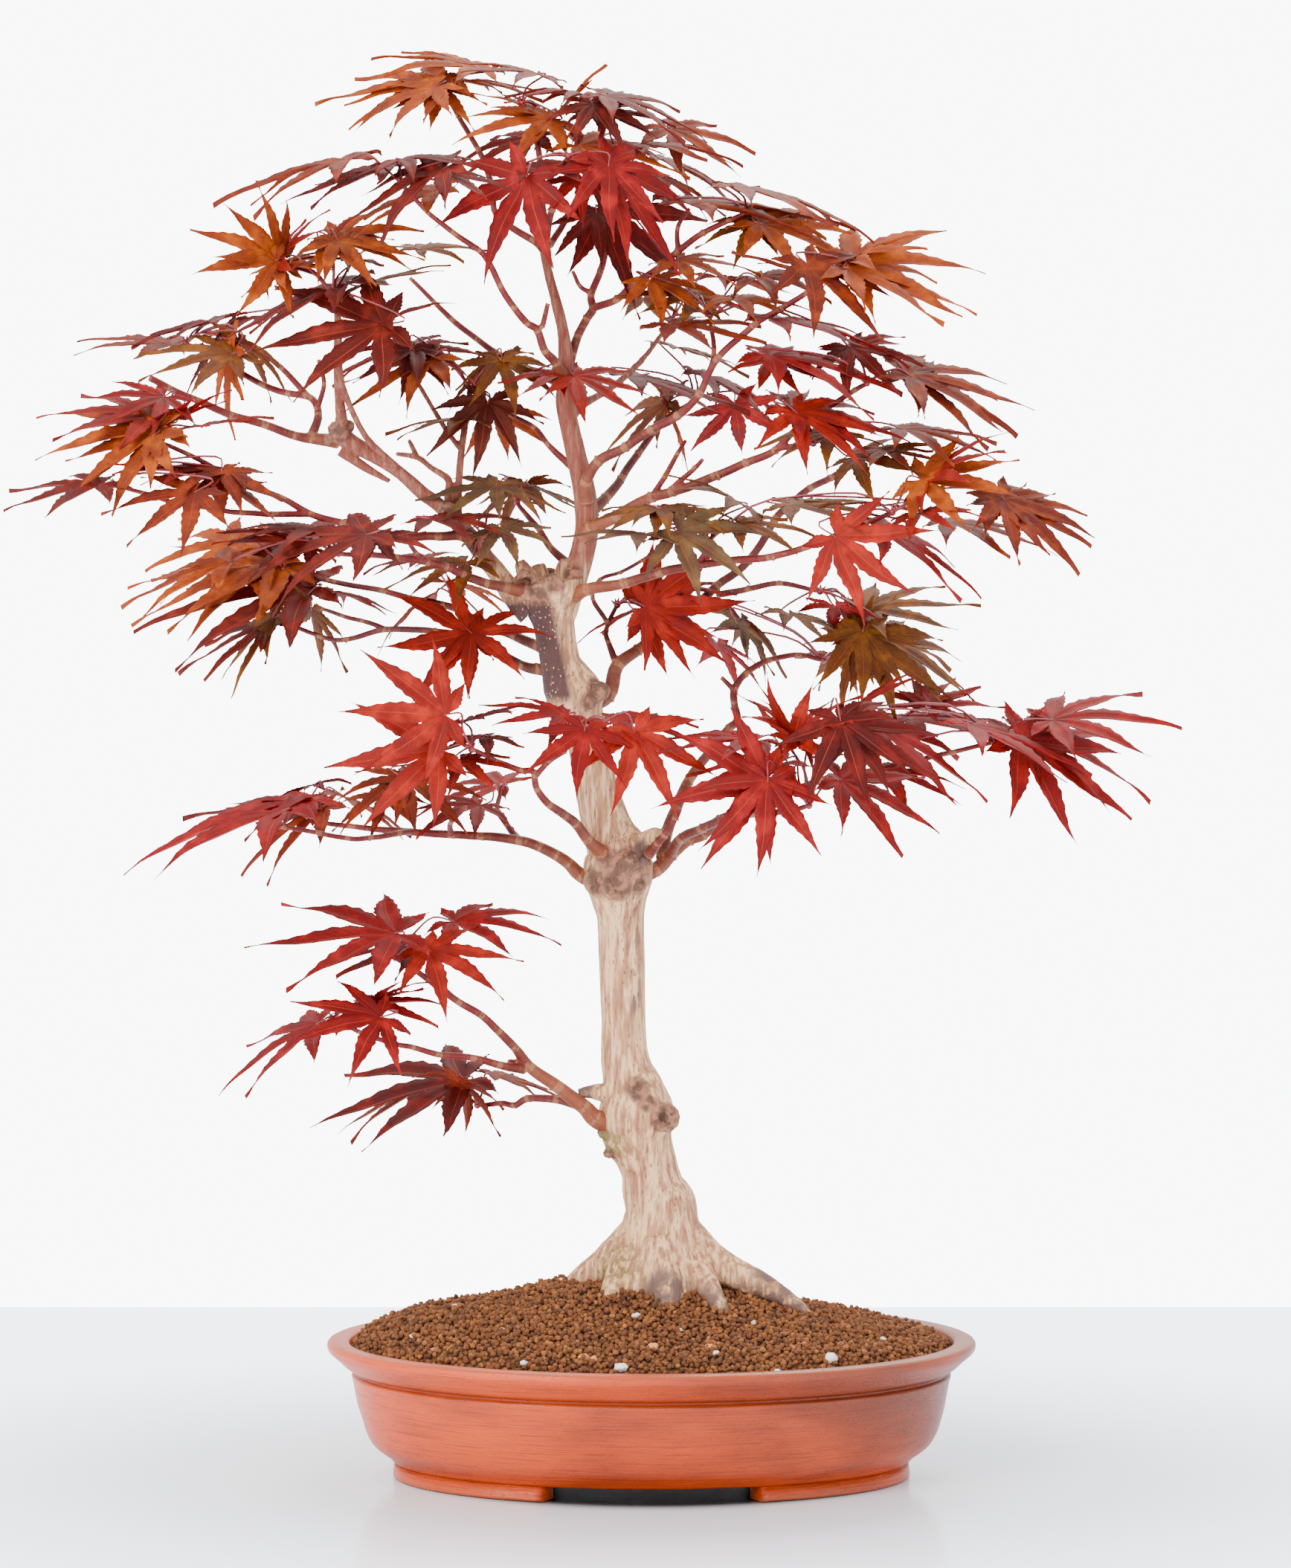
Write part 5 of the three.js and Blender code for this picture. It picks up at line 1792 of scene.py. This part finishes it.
            (-5, 563, -32, 562, -6, 0.4, S), (50, 570, 78, 560, 4, 0.5, G), (2, 577, -20, 570, 8, 0.4, G),
            (137, 580, 106, 583, -6, 0.35, G))),
    ), 0.1),
    Branch("branch_right_long_back", (
        ((-43, 462, 6, 13), (-25, 470, 14, 9.4), (-20, 487, 18, 8.4), (-8, 496, 25, 7), (5, 507, 32, 6.4),
         (25, 522, 41, 5.8), (38, 533, 48, 5.4), (57, 548, 54, 5), (72, 572, 58, 4.8), (80, 580, 60, 4.6),
         (92, 590, 63, 4.4), (104, 596, 66, 4.4), (118, 604, 70, 4.2)),
        ((-20, 488, 20, 5), (-25, 500, 25, 3.6), (-26, 508, 28, 3.2), (-20, 522, 34, 2.6)),
        ((38, 528, 46, 4.6), (57, 532, 40, 3.8), (75, 535, 34, 3.4), (98, 530, 24, 2.8)),
        ((-26, 512, 28, 3.2), (-34, 526, 26, 3), (-30, 537, 24, 2.6), (-18, 541, 22, 2.4),
         (-5, 548, 20, 2.4), (5, 555, 18, 2)),
    ), (
        Shoot("leaves_right_long_back_inner", (-20, 522, 34), (
            (-5, 520, 50, 525, -10, 0.9, R), (0, 530, 35, 536, 8, 0.4, C), (-4, 521, 36, 505, -14, 0.8, R),
            (-6, 520, -28, 513, -4, 0.6, R))),
        Shoot("leaves_right_long_back_low", (98, 530, 24), (
            (107, 521, 127, 505, -6, 0.4, C), (125, 520, 182, 524, 4, 0.5, G),
            (122, 505, 168, 474, -8, 0.7, G), (80, 517, 98, 507, 8, 0.4, S),
            (124, 508, 95, 480, -4, 0.7, G), (123, 507, 122, 473, -14, 0.8, G),
            (135, 503, 185, 475, 12, 0.5, G))),
    ), 0.65),
    Branch("branch_right_low", (
        ((-16, 362, 0, 14), (2, 368, 3, 9.4), (12, 377, 4, 8), (22, 385, 4, 7.2), (30, 388, 4, 6.6),
         (40, 397, 3, 5.8), (60, 403, 2, 5.2), (80, 412, 2, 4.8), (100, 420, 2, 4.4), (130, 426, 5, 4),
         (150, 430, 8, 3.6), (175, 436, 13, 3.2), (200, 442, 18, 2.8)),
        ((6, 374, 4, 8), (8, 388, 12, 7.6), (14, 402, 20, 7), (22, 420, 32, 6.6), (35, 438, 38, 6),
         (45, 450, 42, 5.4), (50, 455, 44, 5.2), (48, 465, 46, 4.8), (48, 473, 48, 4.8), (55, 482, 50, 4.2),
         (68, 490, 53, 3.8), (85, 493, 56, 3.4), (100, 490, 60, 2.8)),
        ((10, 376, 4, 7), (18, 386, -12, 6.2), (30, 392, -28, 5.6), (45, 398, -46, 5), (60, 400, -58, 4.4),
         (80, 402, -72, 3.6), (92, 405, -80, 2.8)),
        ((48, 473, 48, 3.6), (41, 480, 46, 2.8)),
        ((-2, 376, -10, 7), (4, 384, -16, 5), (8, 388, -19, 4.4), (14, 398, -24, 3.8), (17, 405, -28, 3)),
    ), (
        Shoot("leaves_right_low_back", (100, 490, 60), (
            (135, 503, 185, 475, 4, 0.4, G), (50, 512, 57, 493, -6, 0.6, S), (38, 500, 52, 480, 8, 0.5, C),
            (52, 514, 70, 490, 2, 0.6, S), (106, 492, 120, 478, 10, 0.5, G))),
        Shoot("leaves_right_low_front", (92, 405, -80), (
            (83, 445, 89, 466, -4, 0.9, R), (67, 420, 10, 407, -8, 0.85, C), (60, 443, 15, 441, 16, 0.4, C),
            (110, 420, 162, 399, 4, 0.6, C), (110, 455, 125, 415, -16, 0.7, M),
            (68, 420, 63, 376, -14, 0.9, C), (75, 430, 25, 418, 10, 0.4, C), (84, 446, 62, 458, 0, 0.7, R),
            (112, 452, 158, 428, -8, 0.6, M), (84, 446, 110, 455, 4, 0.7, R))),
        Shoot("leaves_right_low_tip", (200, 442, 18), (
            (215, 443, 275, 405, -4, 0.6, C), (233, 455, 296, 460, 6, 0.5, C),
            (185, 452, 250, 430, -16, 0.3, C), (162, 462, 187, 475, 6, 0.6, C),
            (150, 455, 210, 453, 22, 0.3, C), (130, 452, 193, 417, -28, 0.4, C),
            (213, 445, 213, 460, 8, 0.5, M), (120, 462, 145, 477, -30, 0.6, R),
            (130, 425, 172, 415, -20, 0.4, C), (218, 446, 284, 428, 12, 0.5, C),
            (160, 464, 152, 478, 10, 0.7, R))),
    ), 0.45),
)
LIMB_SHOOTS = (
    Shoot("leaves_limb_spur_inner", (-105, 648, 20), (
        (-140, 673, -175, 663, 10, 0.5, P), (-128, 665, -170, 645, -14, 0.5, A),
        (-87, 665, -80, 640, -6, 0.7, G), (-90, 635, -84, 612, 8, 0.6, A),
        (-110, 630, -140, 627, -8, 0.3, G), (-137, 671, -108, 660, -6, 0.5, P),
        (-86, 664, -55, 655, 0, 0.5, G), (-140, 670, -145, 648, -10, 0.7, M),
        (-90, 664, -104, 646, 2, 0.6, G), (-95, 640, -103, 607, -8, 0.8, D))),
    Shoot("leaves_limb_spur_top", (-185, 702, -30), (
        (-178, 708, -248, 683, 8, 0.35, P), (-155, 685, -222, 673, -12, 0.7, P),
        (-217, 722, -255, 717, 0, 0.8, A), (-185, 735, -140, 728, 4, 0.6, A),
        (-165, 708, -130, 718, 14, 0.4, G), (-216, 724, -237, 748, 6, 0.8, A),
        (-217, 722, -198, 740, 10, 0.7, R), (-155, 686, -134, 697, 2, 0.5, P),
        (-175, 722, -200, 724, 12, 0.4, P), (-182, 734, -165, 715, 0, 0.6, A),
        (-135, 728, -108, 735, 60, 0.4, G), (-216, 719, -190, 720, 8, 0.5, A))),
)
# Leaves on short side twigs of the limb and the leader: bud, then rows as on any shoot.
SIDE_SHOOTS = (
    Shoot("", (-97, 562, -9), (
        (-87, 567, -80, 553, -6, 0.7, S), (-90, 592, -115, 578, 10, 0.5, S),
        (-128, 572, -85, 570, -6, 0.4, P), (-108, 547, -135, 535, 2, 0.5, G))),
    Shoot("", (-78, 582, 30), (
        (-72, 592, -45, 580, 4, 0.4, S), (-74, 592, -88, 572, 8, 0.5, G),
        (-90, 592, -68, 580, 10, 0.4, G))),
    Shoot("", (-92, 638, 25), (
        (-45, 655, -12, 637, -30, 0.5, R), (-52, 656, -72, 648, -20, 0.5, C))),
    Shoot("", (12, 688, 60), (
        (20, 702, 52, 700, 14, 0.5, G), (-5, 700, 5, 690, -8, 0.5, G), (40, 712, 68, 706, 20, 0.4, B))),
)
SIDE_TWIGS = (
    ((-48, 545, 2, 6), (-58, 555, 8, 4.6), (-65, 565, 14, 4), (-73, 575, 22, 3.4),
     (-78, 582, 30, 2.8)),
    ((-46, 602, 2, 5), (-60, 615, 8, 3.6), (-68, 625, 14, 3.2), (-80, 632, 20, 3),
     (-92, 638, 25, 2.6)),
)


@dataclass
class TwigWork:
    """Branch wood: swept bars with swollen nodes, fused into one skin."""

    voxel: float = 0.00062
    sides: int = 10
    wander: float = 0.0007
    thinnest: float = 1.1
    girths: float = 3.4
    swell: float = 1.32
    node_along: Triple = (0.0006, 0, 0.0004)

    def marks(self, mesh: Mesh, lines: list[list[Ring]], shade: float) -> None:
        """Mark how thick each stretch of wood is, where its nodes are and how dark it is.

        Args:
            mesh: the fused branch.
            lines: every bar's rings, as Sweep.line lists them.
            shade: how strongly the branch's bark is mottled maroon, from 0 to 1.
        """
        rings = [ring for line in lines for ring in line]
        tree = KDTree(len(rings))
        for index, (centre, _, _) in enumerate(rings):
            tree.insert(centre, index)
        tree.balance()
        nearest = [rings[tree.find(vertex.co)[1]] for vertex in mesh.vertices]
        girth = [clip((radius / MM - self.thinnest) / self.girths) for _, radius, _ in nearest]
        point_values(mesh, "twig_girth", girth)
        point_values(mesh, "twig_ring", [node for _, _, node in nearest])
        point_values(mesh, "twig_shade", [shade] * len(nearest))

    def build(self, name: str, node: str, routes: Sequence[Sequence[DrawnPoint]],
              shade: float) -> Object:
        """Build one branch.

        Args:
            name: the new piece's name.
            node: the CAD node that it stands for, or "" for none.
            routes: the branch's routes on the drawing.
            shade: how strongly the branch's bark is mottled maroon, from 0 to 1.

        Returns:
            The finished piece.
        """
        sweeps, lines = [], []
        along = Vector(self.node_along)
        for index, route in enumerate(routes):
            placed = DRAWING.route(route)
            sweep = Sweep(placed, self.sides, 5, self.wander, index * 7.3)
            sweeps.append(sweep)
            lines.append(sweep.line())
            for place, radius in placed[1:-1]:
                swell = radius * self.swell
                sweeps.append(Sweep([(place - along, swell * 0.8), (place, swell),
                                     (place + along, swell * 0.8)], self.sides, 1))
        piece = fused(swept_mesh(sweeps, name), name, self.voxel, 2)
        self.marks(piece.data, lines, shade)
        smooth(piece.data)
        piece.data.materials.append(TwigFinish().make())
        return hold(piece, [node] if node else [])


@dataclass
class LeafMaker:
    """Makes seven-lobed maple blades, each with its own droop, fold, twist and ripple."""

    lobes: tuple[tuple[float, float], ...] = (
        (-124, 0.36), (-78, 0.68), (-38, 0.93), (0, 1.0), (38, 0.93), (78, 0.68), (124, 0.36))
    cleft: tuple[float, ...] = (0.08, 0.13, 0.17, 0.19, 0.19, 0.17, 0.13, 0.08)
    widest: float = 0.092
    widest_at: float = 0.36
    palm_rows: int = 3
    lobe_rows: int = 14
    columns: int = 4
    tooth: float = 0.16
    thickness: float = 0.0003
    adult: float = 56.0
    settle: float = 1.9
    behind: float = 20.0
    lean: float = 0.9
    spread: float = 1.18

    def bounds_of(self, index: int) -> tuple[float, float]:
        """Give the half angles from a lobe's midrib to its sides, in radians.

        Args:
            index: which lobe.

        Returns:
            The half angles to its right and its left side.
        """
        angle = self.lobes[index][0]
        before = self.lobes[index - 1][0] if index else angle - 50
        after = self.lobes[index + 1][0] if index + 1 < len(self.lobes) else angle + 50
        return math.radians(angle - before) / 2, math.radians(after - angle) / 2

    def outline(self, share: float, start: float, reach: float) -> float:
        """Give a lobe's half width.

        Args:
            share: how far along the lobe's free length, from 0 to 1.
            start: its half width at the cleft.
            reach: its length as a share of the middle lobe's.

        Returns:
            The half width, for a leaf of unit length.
        """
        power = (1 - self.widest_at) / self.widest_at
        peak = self.widest_at * (1 - self.widest_at) ** power
        bulge = share * (1 - share) ** power / peak
        wide = self.widest * (0.5 + 0.5 * reach)
        return start * (1 - share) ** 1.5 + max(0.0, wide - start * 0.5) * bulge

    def lobe(self, index: int, rng: random.Random, droop: float,
             fold: float) -> BMesh:
        """Shape one lobe from a grid: a sector of the palm, then a toothed free blade.

        Args:
            index: which lobe.
            rng: the leaf's own random source.
            droop: how far the lobe's end hangs, as a share of the leaf's length.
            fold: how far the sides rise from the midrib.

        Returns:
            The lobe, one unit long, its leaf's midrib along +X.
        """
        angle, reach = self.lobes[index]
        reach *= rng.uniform(0.93, 1.05)
        heading = math.radians(angle + rng.uniform(-4, 4) * (index != 3))
        sector = math.radians(angle)
        left_angle, right_angle = self.bounds_of(index)
        left_cleft, right_cleft = self.cleft[index], self.cleft[index + 1]
        rows = self.palm_rows + self.lobe_rows
        shape = bmesh.new()
        uv_layer = shape.loops.layers.uv.new(LOBE_MAP)
        bmesh.ops.create_grid(shape, x_segments=self.columns, y_segments=rows, size=1.0)
        hang = droop * rng.uniform(0.6, 1.5)
        twist = rng.uniform(-0.5, 0.5)
        bend = rng.uniform(-0.07, 0.07)
        for face in shape.faces:
            for loop in face.loops:
                place = loop.vert.co
                loop[uv_layer].uv = (place.x / 2 + 0.5, place.y / 2 + 0.5)
        middle = (left_cleft + right_cleft) / 2
        for vertex in shape.verts:
            across = vertex.co.x
            row = round((vertex.co.y + 1) / 2 * rows)
            cleft = left_cleft if across < 0 else right_cleft
            side = left_angle if across < 0 else right_angle
            edge = mix(middle, cleft, abs(across))
            if row <= self.palm_rows:
                radius = edge * row / self.palm_rows
                turn = sector + across * side
                x, y = radius * math.cos(turn), radius * math.sin(turn)
                free = 0.0
                spread = abs(across) * radius * side
            else:
                free = (row - self.palm_rows) / self.lobe_rows
                start = cleft * math.sin(side)
                half = self.outline(free, start, reach)
                if abs(across) > 0.9 and 0.08 < free < 0.93:
                    half *= 1 + self.tooth * (0.5 if row % 2 else -0.5)
                along = mix(middle, reach, free)
                along += (cleft * math.cos(side) - middle) * abs(across) ** 2 * (1 - free) ** 2
                out = across * half + bend * math.sin(math.pi * free) * reach * 0.5
                aim = mix(sector, heading, min(1.0, free * 2))
                x = along * math.cos(aim) - out * math.sin(aim)
                y = along * math.sin(aim) + out * math.cos(aim)
                spread = abs(across) * half
            radius = math.hypot(x, y)
            z = fold * spread - hang * radius ** 2.2 - 0.10 * hang * free ** 4
            z += twist * across * free ** 1.5 * 0.05
            z += 0.012 * math.sin(free * 9 + index * 2.1) * free
            vertex.co = Vector((x, y, z))
        return shape

    def blade(self, rng: random.Random, droop: float, fold: float) -> BMesh:
        """Join the seven lobes at the palm.

        Args:
            rng: the leaf's own random source.
            droop: how far the ends hang.
            fold: how far the lobes' sides rise.

        Returns:
            The blade, one unit long.
        """
        whole = bmesh.new()
        for index in range(len(self.lobes)):
            add_to(whole, self.lobe(index, rng, droop, fold))
        bmesh.ops.remove_doubles(whole, verts=whole.verts, dist=0.004)
        return whole

    def frame_of(self, bud: Vector, row: LeafRow, rng: random.Random) -> tuple[Matrix, float]:
        """Work out where a leaf sits and which way it lies.

        Args:
            bud: the shoot's bud on the drawing.
            row: the leaf's row.
            rng: the leaf's own random source.

        Returns:
            The matrix that sets a unit leaf in place, and the leaf's length in metres.
        """
        base_x, base_height, tip_x, tip_height, depth, facing, _ = row
        drawn = math.hypot(tip_x - base_x, tip_height - base_height)
        length = max(drawn, (drawn + self.adult) / 2)
        base_depth = (bud[2] + depth) * DRAWING.depth_spread
        towards = 1 if base_depth > self.behind else -1
        tip_depth = base_depth + towards * math.sqrt(length ** 2 - drawn ** 2) * self.lean
        base = DRAWING.place(base_x, base_height, base_depth)
        midrib = (DRAWING.place(tip_x, tip_height, tip_depth) - base).normalized()
        facing = facing ** self.settle
        normal = Vector((rng.uniform(-0.12, 0.12), -facing, 1 - facing))
        normal = (normal - midrib * normal.dot(midrib)).normalized()
        side = normal.cross(midrib)
        turn = Matrix((midrib, side, normal)).transposed().to_4x4()
        size = length * self.spread * MM
        return Matrix.Translation(base) @ turn @ Matrix.Scale(size, 4), size

    def stalk(self, bud: Vector, spot: Matrix, size: float) -> Sweep:
        """Route a leaf's stalk from the bud to the palm in one easy arch.

        Args:
            bud: where the stalk leaves the twig.
            spot: the matrix that sets the leaf in place.
            size: the leaf's length in metres.

        Returns:
            The stalk's bar.
        """
        base = spot.translation
        midrib = (spot.to_3x3() @ Vector((1, 0, 0))).normalized()
        span = (base - bud).length
        lift = Vector((0, 0, span * 0.16))
        first = bud + (base - bud) * 0.35 + lift
        second = base - midrib * min(span * 0.3, 0.012) + lift * 0.25
        end = base + midrib * size * 0.02
        return Sweep([(bud, 0.00085), (first, 0.0007), (second, 0.0006), (end, 0.0005)], 6, 4)


@dataclass
class ShootMaker:
    """Dresses a bud with its leaves, stalks and bud scales."""

    maker: LeafMaker = field(default_factory=LeafMaker)
    leaf_finish: Material | None = None
    stalk_finish: Material | None = None

    def blades(self, shoot: Shoot, rng: random.Random) -> tuple[Object, list[Sweep]]:
        """Build a shoot's blades as thin closed shells.

        Args:
            shoot: the shoot.
            rng: the shoot's random source.

        Returns:
            The blades, and the bars of their stalks.
        """
        bud = shoot.place()
        whole = bmesh.new()
        tints, glows, stalks = [], [], []
        for row in shoot.leaves:
            tone = row[6]
            curl = 3.0 if tone is Tone.DRY else 1.0
            blade = self.maker.blade(rng, rng.uniform(0.05, 0.17) * curl,
                                     rng.uniform(0.25, 0.5) * curl)
            spot, size = self.maker.frame_of(shoot.bud, row, rng)
            bmesh.ops.transform(blade, matrix=spot, verts=blade.verts)
            stalks.append(self.maker.stalk(bud, spot, size))
            face, shine = tone.value
            light = rng.uniform(0.8, 1.2)
            count = len(blade.verts)
            tints += [face[0] * light, face[1] * light, face[2] * light, 1.0] * count
            glows += [shine[0], shine[1], shine[2], 1.0] * count
            add_to(whole, blade)
        mesh = mesh_of(whole, "blades")
        for name, colours in (("leaf_tint", tints), ("leaf_glow", glows)):
            mesh.attributes.new(name, "FLOAT_COLOR", "POINT").data.foreach_set("color", colours)
        piece = new_piece("blades", mesh)
        shell = piece.modifiers.new("blade_thickness", "SOLIDIFY")
        shell.thickness = self.maker.thickness
        shell.offset = 0
        return applied(piece), stalks

    def bud_scales(self, shoot: Shoot, rng: random.Random) -> BMesh:
        """Build the swollen bud at the twig's end with three small pointed scales.

        Args:
            shoot: the shoot.
            rng: the shoot's random source.

        Returns:
            The bud and its scales.
        """
        bud = shoot.place()
        shape = bmesh.new()
        bmesh.ops.create_icosphere(shape, subdivisions=2, radius=0.0021,
                                   matrix=Matrix.Translation(bud))
        for _ in range(3):
            lean = Matrix.Rotation(rng.uniform(-0.9, 0.9), 4, "X")
            lean = lean @ Matrix.Rotation(rng.uniform(-0.9, 0.9), 4, "Y")
            bmesh.ops.create_cone(shape, cap_ends=True, segments=8, radius1=0.0013,
                                  radius2=0.0003, depth=0.0046,
                                  matrix=Matrix.Translation(bud) @ lean
                                  @ Matrix.Translation((0, 0, 0.0026)))
        return shape

    def build(self, shoot: Shoot, name: str, nodes: Sequence[str], seed: int) -> Object:
        """Build one shoot.

        Args:
            shoot: the shoot.
            name: the new piece's name.
            nodes: the CAD nodes that it stands for.
            seed: what its random source starts from.

        Returns:
            The finished piece.
        """
        rng = random.Random(seed)
        piece, stalks = self.blades(shoot, rng)
        blade_faces = len(piece.data.polygons)
        whole = bmesh.new()
        whole.from_mesh(piece.data)
        bars = swept_mesh(stalks, "stalks")
        whole.from_mesh(bars)
        scales = mesh_of(self.bud_scales(shoot, rng), "scales")
        whole.from_mesh(scales)
        whole.to_mesh(piece.data)
        whole.free()
        piece.name = name
        smooth(piece.data)
        piece.data.materials.append(self.leaf_finish)
        piece.data.materials.append(self.stalk_finish)
        count = len(piece.data.polygons)
        piece.data.polygons.foreach_set(
            "material_index", [0] * blade_faces + [1] * (count - blade_faces))
        return hold(piece, nodes)


# ---- studio
@dataclass
class Studio:
    """The pale table, the soft light and the camera."""

    lens: float = 126.2
    aim_height: float = 407.7
    table_back: float = 605.0
    room: float = 2.3
    wall: float = 9.5
    shine: float = 2.8

    def camera(self) -> None:
        """Stand the camera at the viewer's eye, looking at the middle of the tree."""
        data = bpy.data.cameras.new("view")
        data.lens = self.lens
        data.sensor_width = 36.0
        data.clip_end = 50.0
        view = bpy.data.objects.new("view", data)
        bpy.context.scene.collection.objects.link(view)
        eye = DRAWING.at(DRAWING.eye_x, -DRAWING.eye_distance, DRAWING.eye_height)
        aim = DRAWING.at(DRAWING.eye_x, 0, self.aim_height)
        view.location = eye
        view.rotation_euler = (aim - eye).to_track_quat("-Z", "Y").to_euler()
        bpy.context.scene.camera = view

    def table(self) -> None:
        """Lay the pale, faintly glossy table, its back edge behind the pot, with a painted shadow under the
        pot; the table glows more the further it is from the pot.
        """
        shape = bmesh.new()
        bmesh.ops.create_grid(shape, x_segments=2, y_segments=2, size=1.0)
        bmesh.ops.scale(shape, vec=(6.0, 3.0, 1.0), verts=shape.verts)
        back = DRAWING.middle.y + self.table_back * MM
        bmesh.ops.translate(shape, vec=(0, back - 3.0, -0.0004), verts=shape.verts)
        table = new_piece("table_top", mesh_of(shape, "table_top"))
        shader = Shader("pale_table")
        cloud = shader.noise(2.0, detail=2.0)
        colour = shader.blend(cloud, paint(226, 231, 240), paint(236, 240, 247))
        x, y = shader.axis("X"), shader.axis("Y")
        far = (x * x + y * y * 2.0) ** 0.5
        # The table glows, from nothing near the pot to full strength further out.
        lift = shader.blend(far.step(0.19, 0.7), paint(0, 0, 0), paint(236, 241, 250))
        # Painted shadow: a near-black patch painted on the table under the pot, fully dark near its middle,
        # standing in for the shade between the feet.
        colour = shader.blend(far.step(0.15, 0.12), colour, paint(24, 18, 14))
        table.data.materials.append(shader.surface({
            "Base Color": colour, "Roughness": 0.16, "Specular IOR Level": 0.5,
            "Emission Color": lift, "Emission Strength": self.shine,
        }))

    def lamp(self, name: str, place: Triple, size: float, power: float,
             colour: Triple) -> None:
        """Hang one large soft lamp that faces the tree.

        Args:
            name: the lamp's name.
            place: where it hangs, in metres.
            size: its side, in metres.
            power: its power in watts.
            colour: its colour.
        """
        data = bpy.data.lights.new(name, "AREA")
        data.shape = "SQUARE"
        data.size = size
        data.energy = power
        data.color = colour
        lamp = bpy.data.objects.new(name, data)
        bpy.context.scene.collection.objects.link(lamp)
        lamp.location = place
        lamp.rotation_euler = (Vector((0, 0, 0.4)) - Vector(place)).to_track_quat(
            "-Z", "Y").to_euler()

    def light(self) -> None:
        """Light the room evenly, with a soft key from the upper left and a glow behind."""
        world = bpy.data.worlds.new("white_room")
        world.use_nodes = True
        nodes, links = world.node_tree.nodes, world.node_tree.links
        room = nodes["Background"]
        room.inputs["Color"].default_value = (0.95, 0.965, 1.0, 1.0)
        room.inputs["Strength"].default_value = self.room
        wall = nodes.new("ShaderNodeBackground")
        wall.inputs["Color"].default_value = (0.96, 0.975, 1.0, 1.0)
        wall.inputs["Strength"].default_value = self.wall
        seen = nodes.new("ShaderNodeLightPath")
        choose = nodes.new("ShaderNodeMixShader")
        links.new(seen.outputs["Is Camera Ray"], choose.inputs[0])
        links.new(room.outputs[0], choose.inputs[1])
        links.new(wall.outputs[0], choose.inputs[2])
        links.new(choose.outputs[0], nodes["World Output"].inputs["Surface"])
        bpy.context.scene.world = world
        self.lamp("key", (-1.6, -2.2, 1.9), 1.4, 118.0, (1.0, 0.97, 0.92))
        self.lamp("fill", (2.2, -1.8, 1.0), 1.8, 15.0, (0.95, 0.97, 1.0))
        self.lamp("glow", (0.5, 1.8, 2.2), 1.6, 60.0, (1.0, 0.95, 0.86))

    def build(self) -> None:
        """Set the studio up."""
        self.camera()
        self.table()
        self.light()


# ---- the whole object
def build_leaves() -> None:
    """Build every shoot on the branches, the limb and the side twigs."""
    maker = ShootMaker(LeafMaker(), LeafFinish().make(), StalkFinish().make())
    shoots = [shoot for branch in BRANCHES for shoot in branch.shoots]
    shoots += list(LIMB_SHOOTS) + list(SIDE_SHOOTS)
    for index, shoot in enumerate(shoots):
        name = shoot.node.replace("leaves_", "spray_") or f"spray_side_{index}"
        maker.build(shoot, name, [shoot.node] if shoot.node else [], 100 + index)


def main() -> None:
    """Build the studio, the pot, the soil, the wood and the leaves."""
    logging.basicConfig(level=logging.INFO, format="%(name)s: %(message)s")
    Studio().build()
    Pot().build()
    DrainageScreens().build(-1, "drainage_screen_left")
    DrainageScreens().build(1, "drainage_screen_right")
    bed = SoilBed()
    bed.build_soil()
    bed.build_pebbles()
    OldWood("trunk_wood", "trunk", (TRUNK_LINE, LEADER_LINE, *ROOT_LINES, BACK_SHOOT_LINE, *SPURS),
            TRUNK_KNOTS, 0.00115, 1.0).build()
    OldWood("limb_wood", "left_limb", (LIMB_LINE, *LIMB_SPURS), LIMB_KNOTS, 0.0007, 0.5,
            5.0).build()
    twigs = TwigWork()
    for branch in BRANCHES:
        twigs.build(branch.node.replace("branch_", "wood_"), branch.node, branch.routes,
                    branch.shade)
    twigs.build("wood_side_twigs", "", SIDE_TWIGS, 0.4)
    build_leaves()


if __name__ == "__main__":
    main()
